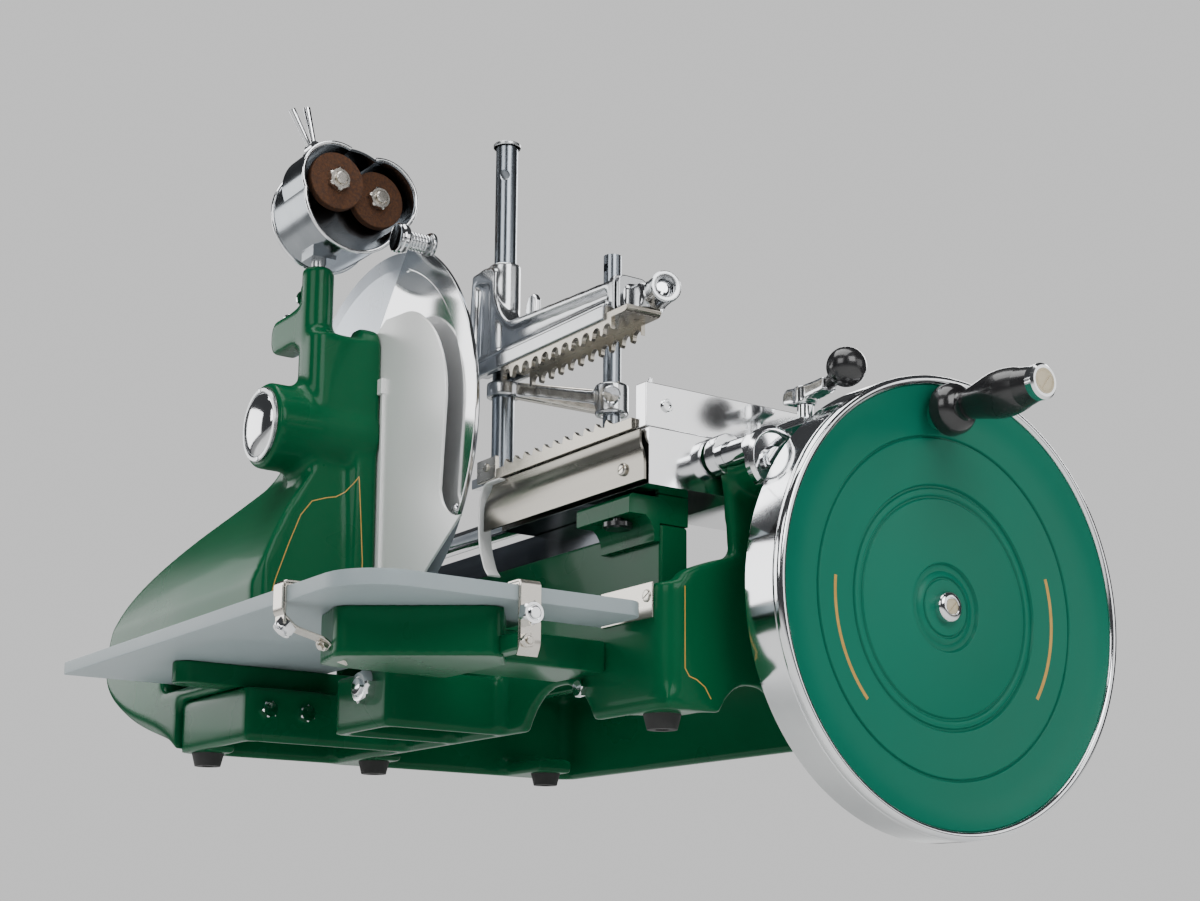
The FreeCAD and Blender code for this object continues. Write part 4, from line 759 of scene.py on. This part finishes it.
BASE_LINE = [
    (290, -105, 108), (290, -105, 44), (290, -101, 38), (290, -94, 36), (290, -86, 31),
    (290, -80, 22),
]
APRON_LEVELS = [
    # height, front face, left end, right end
    (233.6, -131.6, 30, 247), (228, -131.8, 28, 247.4), (224, -132.8, 26.5, 248.6),
    (220, -134.4, 25.4, 251.6), (216, -136, 25, 255.6), (211.5, -137, 25, 259),
    (206, -137.4, 25, 260.6), (200, -137.4, 25, 261), (190, -137.4, 25, 261),
]
APRON_THICK, APRON_CREASE = 2.2, 25
APRON_END = [
    (50, -131.6, 232.6), (24, -131.6, 232.6), (18, -131.6, 220), (16.5, -131.6, 200),
    (18, -131.6, 178), (28, -131.6, 156), (34, -131.6, 150),
]
FENCE_SCREW = [(5.2, 0), (5.2, 1.8), (4.6, 2.6), (3.0, 2.6), (2.8, 0.9), (0, 0.9)]
FENCE_PIN = [(1.8, 0), (1.8, 5), (1.2, 6), (0, 6.2)]


def make_base_details(base):
    hexagon("wing_bolt_large", "frame", (4, -234.8, 47), FRONT, 14.2, 10, turn=0.3, end=2.4)
    hexagon("wing_bolt_1", "frame", (-138.2, -259, 41), RIGHT, 8, 6, turn=0.2)
    hexagon("wing_bolt_2", "frame", (-138.2, -222, 40), RIGHT, 8, 6, turn=0.5)
    hexagon("base_bolt", "frame", (157, -121.8, 39), FRONT, 7.5, 6, turn=0.1)
    slotted("wear_screw", "frame", (247, -123.9, 101.5), FRONT, 5, 1.2, "satin", 0.5)
    gold_line("base_line", "frame", surface_of(base), BASE_LINE, PIN_STRIPE_WIDTH)
    box_piece("rear_rail_strip", "frame", (-272, 142.6, 187), (229, 155.4, 188.75), "steel", 0.3)
    slotted("gear_beam_screw", "frame", (-70, 53.8, 97), FRONT, 5, 3, "steel", 0.4)
    turned("rod_sleeve", "frame", [
        (15.1, 0), (16.4, 0.6), (16.8, 1.6), (16.8, 11.6), (16.2, 12.6), (10, 13),
    ], (257.8, -60, 219.6), RIGHT, "chrome", closed=True)


def make_carriage_details():
    slotted("apron_screw", "carriage", (234, -137.2, 202.4), FRONT, 5.2, 3, "satin", 0.4)
    levels = [
        [(left, out, z), (right, out, z), (right, out + APRON_THICK, z),
         (left, out + APRON_THICK, z)]
        for z, out, left, right in APRON_LEVELS
    ]
    apron = dressed("bent_apron", "carriage", skinned(levels), "nickel", APRON_CREASE)
    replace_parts(apron, "carriage_apron")
    swept("apron_end_strip", "carriage", rounded_path(APRON_END, 12),
          strip_section(13, 1.8, 0.6), FRONT, "plate")
    for name, y in (("fence_screw", -110.8), ("fence_screw_far", 40)):
        turned(name, "feed", FENCE_SCREW, (254.8, y, 254), RIGHT, "chrome", 48)
    for name, y in (("fence_pin", -121), ("fence_pin_far", 60)):
        turned(name, "feed", FENCE_PIN, (247, y, 270.6), UP, "chrome", 24)
    box_piece("jaw_end_plate", "feed", (8, -135.4, 236), (39.6, -131.4, 256), "satin", 0.8)
    slotted("jaw_end_screw", "feed", (24, -135.2, 248), FRONT, 3.8, 2, "satin", 0.7)


# ---------------------------------------------------------------- jaws

# The clamp socket at the beam's end points along its own axis, turned about the upright.
SOCKET_AT, SOCKET_ANGLE = Vector((226, -104, 352)), math.radians(-15)
# left face, thickness, how far it stands out past the first one
BEAM_COLLARS = [(202.6, 7, 0), (211.2, 4, -1.6)]
ARM_FLANGES = [("arm_flange_near", -137.6, -130), ("arm_flange_far", -106, -98.4)]
FLANGE_LEFT, FLANGE_LONG = -14, 218
POST_FOOT = [(8.1, 0), (14.5, 0), (14.5, 2.4), (13.2, 3.4), (8.1, 3.4)]


def make_jaw_details():
    along = Vector((math.cos(SOCKET_ANGLE), math.sin(SOCKET_ANGLE), 0))
    turned("socket_lip", "upper_jaw", [
        (7.6, 0), (12.4, 0), (13.1, 0.8), (13.1, 2.6), (12.2, 3.6), (10.2, 3.8), (8.2, 3.2),
        (7.6, 2),
    ], SOCKET_AT + along * 27.6, along, "cast", closed=True)
    slotted("socket_slot_screw", "upper_jaw", SOCKET_AT + along * 23.4, along, 7.4, 2.6,
            turn=1.2)
    for number, (x, thick, grow) in enumerate(BEAM_COLLARS, start=1):
        near, far, low, high = -131 - grow, -99 + grow, 337 - grow, 373 + grow
        collar = [(x, near, low), (x, far, low), (x, far, high), (x, near, high)]
        slab(f"beam_collar_{number}", "upper_jaw", cut_corners(collar, 8), (thick, 0, 0),
             "cast", 1.2)
    for name, near, far in ARM_FLANGES:
        section = [(near, 334.8), (near, 345.4), (near + 1.4, 346.8), (far - 1.4, 346.8),
                   (far, 345.4), (far, 334.8), (far - 1.2, 333.6), (near + 1.2, 333.6)]
        lip = [(FLANGE_LEFT, y, z) for y, z in section]
        slab(name, "upper_jaw", lip, (FLANGE_LONG, 0, 0), "cast", 0.7)
    wing = [(34, 368), (31, 386), (32, 400), (37, 408), (44, 409.6), (48.6, 404), (47.6, 390),
            (46, 368)]
    slab("clamp_wing", "clamp_lever", [(x, -102.4, z) for x, z in wing], (0, 7, 0), "chrome",
         2.2)
    slab("link_web", "upper_jaw", [
        (23, -110, 317.5), (78, -54, 299.5), (78, -54, 321), (23, -110, 331.5),
    ], (-8.2, 8.2, 0), "satin", 2.4)
    sleeve = [(GUIDE_POST[0] + u, GUIDE_POST[1] + v, 297.5)
              for u, v in ((-15.5, 0), (0, -15.5), (15.5, 0), (0, 15.5))]
    slab("link_block", "upper_jaw", cut_corners(sleeve, 6), (0, 0, 28), "satin", 1.4)
    turned("post_cap_rim", "feed", [
        (10.1, 0), (12, 0), (12.5, 0.6), (12.5, 2.6), (12, 3.2), (0, 3.4),
    ], (*JAW_POST, 553.8), UP, "steel")
    for name, post in (("post_foot_ring", JAW_POST), ("guide_foot_ring", GUIDE_POST)):
        turned(name, "feed", POST_FOOT, (*post, 243.6), UP, "steel", 48, closed=True)
    turned("link_thumb_screw", "upper_jaw", [
        (3, 0), (3, 5), (7.4, 5.4), (8, 6.2), (8, 10), (7, 11), (0, 11.2),
    ], (90, -47.8, 311), (0.81, -0.59, 0), "chrome", 48)


# ---------------------------------------------------------------- tray clips

CLIP_THICK, CLIP_BEVEL, CLIP_BEND = 1.8, 0.4, 4
STRAP_1 = [
    (147.5, -370, 97.4), (147.5, -387.2, 97.4), (147.5, -387.2, 74), (147.5, -376, 64),
    (147.5, -352, 58), (143, -338, 50), (136, -330, 44),
]
STRAP_2 = [(246, -241, 97.2), (263.2, -241, 97.2), (263.2, -241, 50), (259, -241, 42)]


def make_clips():
    swept("clip_strap_1", "frame", rounded_path(STRAP_1, CLIP_BEND),
          strip_section(15, CLIP_THICK, CLIP_BEVEL), RIGHT, "satin")
    hexagon("clip_bolt_1", "frame", (147.5, -380, 66), (0, -0.62, -0.78), 8.6, 7, turn=0.2,
            end=1.6)
    hexagon("clip_nut_1", "frame", (143, -347, 56), (0.1, -0.7, -0.7), 5.4, 4, "satin", 0.4, 2)
    swept("clip_strap_2", "frame", rounded_path(STRAP_2, CLIP_BEND),
          strip_section(18, CLIP_THICK, CLIP_BEVEL), BACK, "satin")
    hexagon("clip_bolt_2", "frame", (264, -243, 72), RIGHT, 9.4, 8, turn=0.4, end=2)
    hexagon("clip_nut_2", "frame", (264, -245, 52), RIGHT, 5.6, 4.4, "satin", 0.1, 2)
    box_piece("clip_stem_2", "frame", (206, -249, 46), (262.4, -235, 60), "green", 2.5)


# ---------------------------------------------------------------- sharpener

# y, z and radius of the three circles that make the cup's outline
CUP_CIRCLES = [(-206, 521, 50), (-223, 536.5, 36), (-175, 532.7, 35)]
CUP_MOUTH, CUP_BACK, LIP_RADIUS = -104.6, -174, 1.7
ARC_POINTS, SHORTEST_ARC, ARC_OVERLAP = 240, 24, 0.6
STONES = [
    # body, y, z, front face
    ("stone_a", -223, 536.5, -106),
    ("stone_b", -175, 532.7, -117),
]
STONE_THICK, SPINDLE_BACK = 9, -153
STONE_PROFILE = [(4.1, 0), (26, 0), (27, 0.5), (27.5, 1.6), (27.5, 7.6), (27, 8.6),
                 (26, STONE_THICK), (4.1, STONE_THICK)]


def outer_arcs():
    """The runs of each cup circle that lie outside the other two."""
    runs = []
    for y, z, radius in CUP_CIRCLES:
        run = []
        for i in range(ARC_POINTS + 1):
            a = 2 * math.pi * i / ARC_POINTS
            point = Vector((0, y + radius * math.cos(a), z + radius * math.sin(a)))
            inside = any((point.y - v) ** 2 + (point.z - w) ** 2 < (r - ARC_OVERLAP) ** 2
                         for v, w, r in CUP_CIRCLES if (v, w, r) != (y, z, radius))
            if inside:
                runs.append(run)
                run = []
            else:
                run.append(point)
        runs.append(run)
    return [run for run in runs if len(run) > SHORTEST_ARC]


def make_sharpener_details():
    for number, run in enumerate(outer_arcs(), start=1):
        path = [point + Vector((CUP_MOUTH, 0, 0)) for point in run]
        swept(f"cup_lip_{number}", "sharpener_head", path, round_section(LIP_RADIUS), RIGHT,
              "chrome", angle=WIRE_CREASE)
    y, z, radius = CUP_CIRCLES[0]
    swept("cup_back_bead", "sharpener_head", circle((CUP_BACK, y, z), RIGHT, radius + 0.2, 120),
          round_section(LIP_RADIUS), RIGHT, "chrome", closed=True, angle=WIRE_CREASE)
    for number, (body, y, z, face) in enumerate(STONES, start=1):
        stone = turned(f"grit_wheel_{number}", body, STONE_PROFILE, (face - STONE_THICK, y, z),
                       RIGHT, "stone", 96, closed=True)
        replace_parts(stone, f"stone_{number}")
        shaft = turned(f"stone_shaft_{number}", body, [(4, 0), (4, face - SPINDLE_BACK)],
                       (SPINDLE_BACK, y, z), RIGHT, "steel", 32)
        nut = hexagon(f"stone_nut_{number}", body, (face, y, z), RIGHT, 11.4, 6.5, "satin",
                      0.25 + 0.3 * number, 4)
        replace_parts(shaft, f"stone_spindle_{number}")
        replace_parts(nut, f"stone_spindle_{number}")


# ---------------------------------------------------------------- build

materials = {
    kind: surface(name, dark, light, rough, **more)
    for kind, (name, dark, light, rough, more) in FINISHES.items()
}
make_camera()
make_stage()
finish_nodes()
castings = dress_castings()
make_flywheel()
make_column_details(castings["column_casting"])
make_guard_details()
make_base_details(castings["base_casting"])
make_carriage_details()
make_jaw_details()
make_clips()
make_sharpener_details()
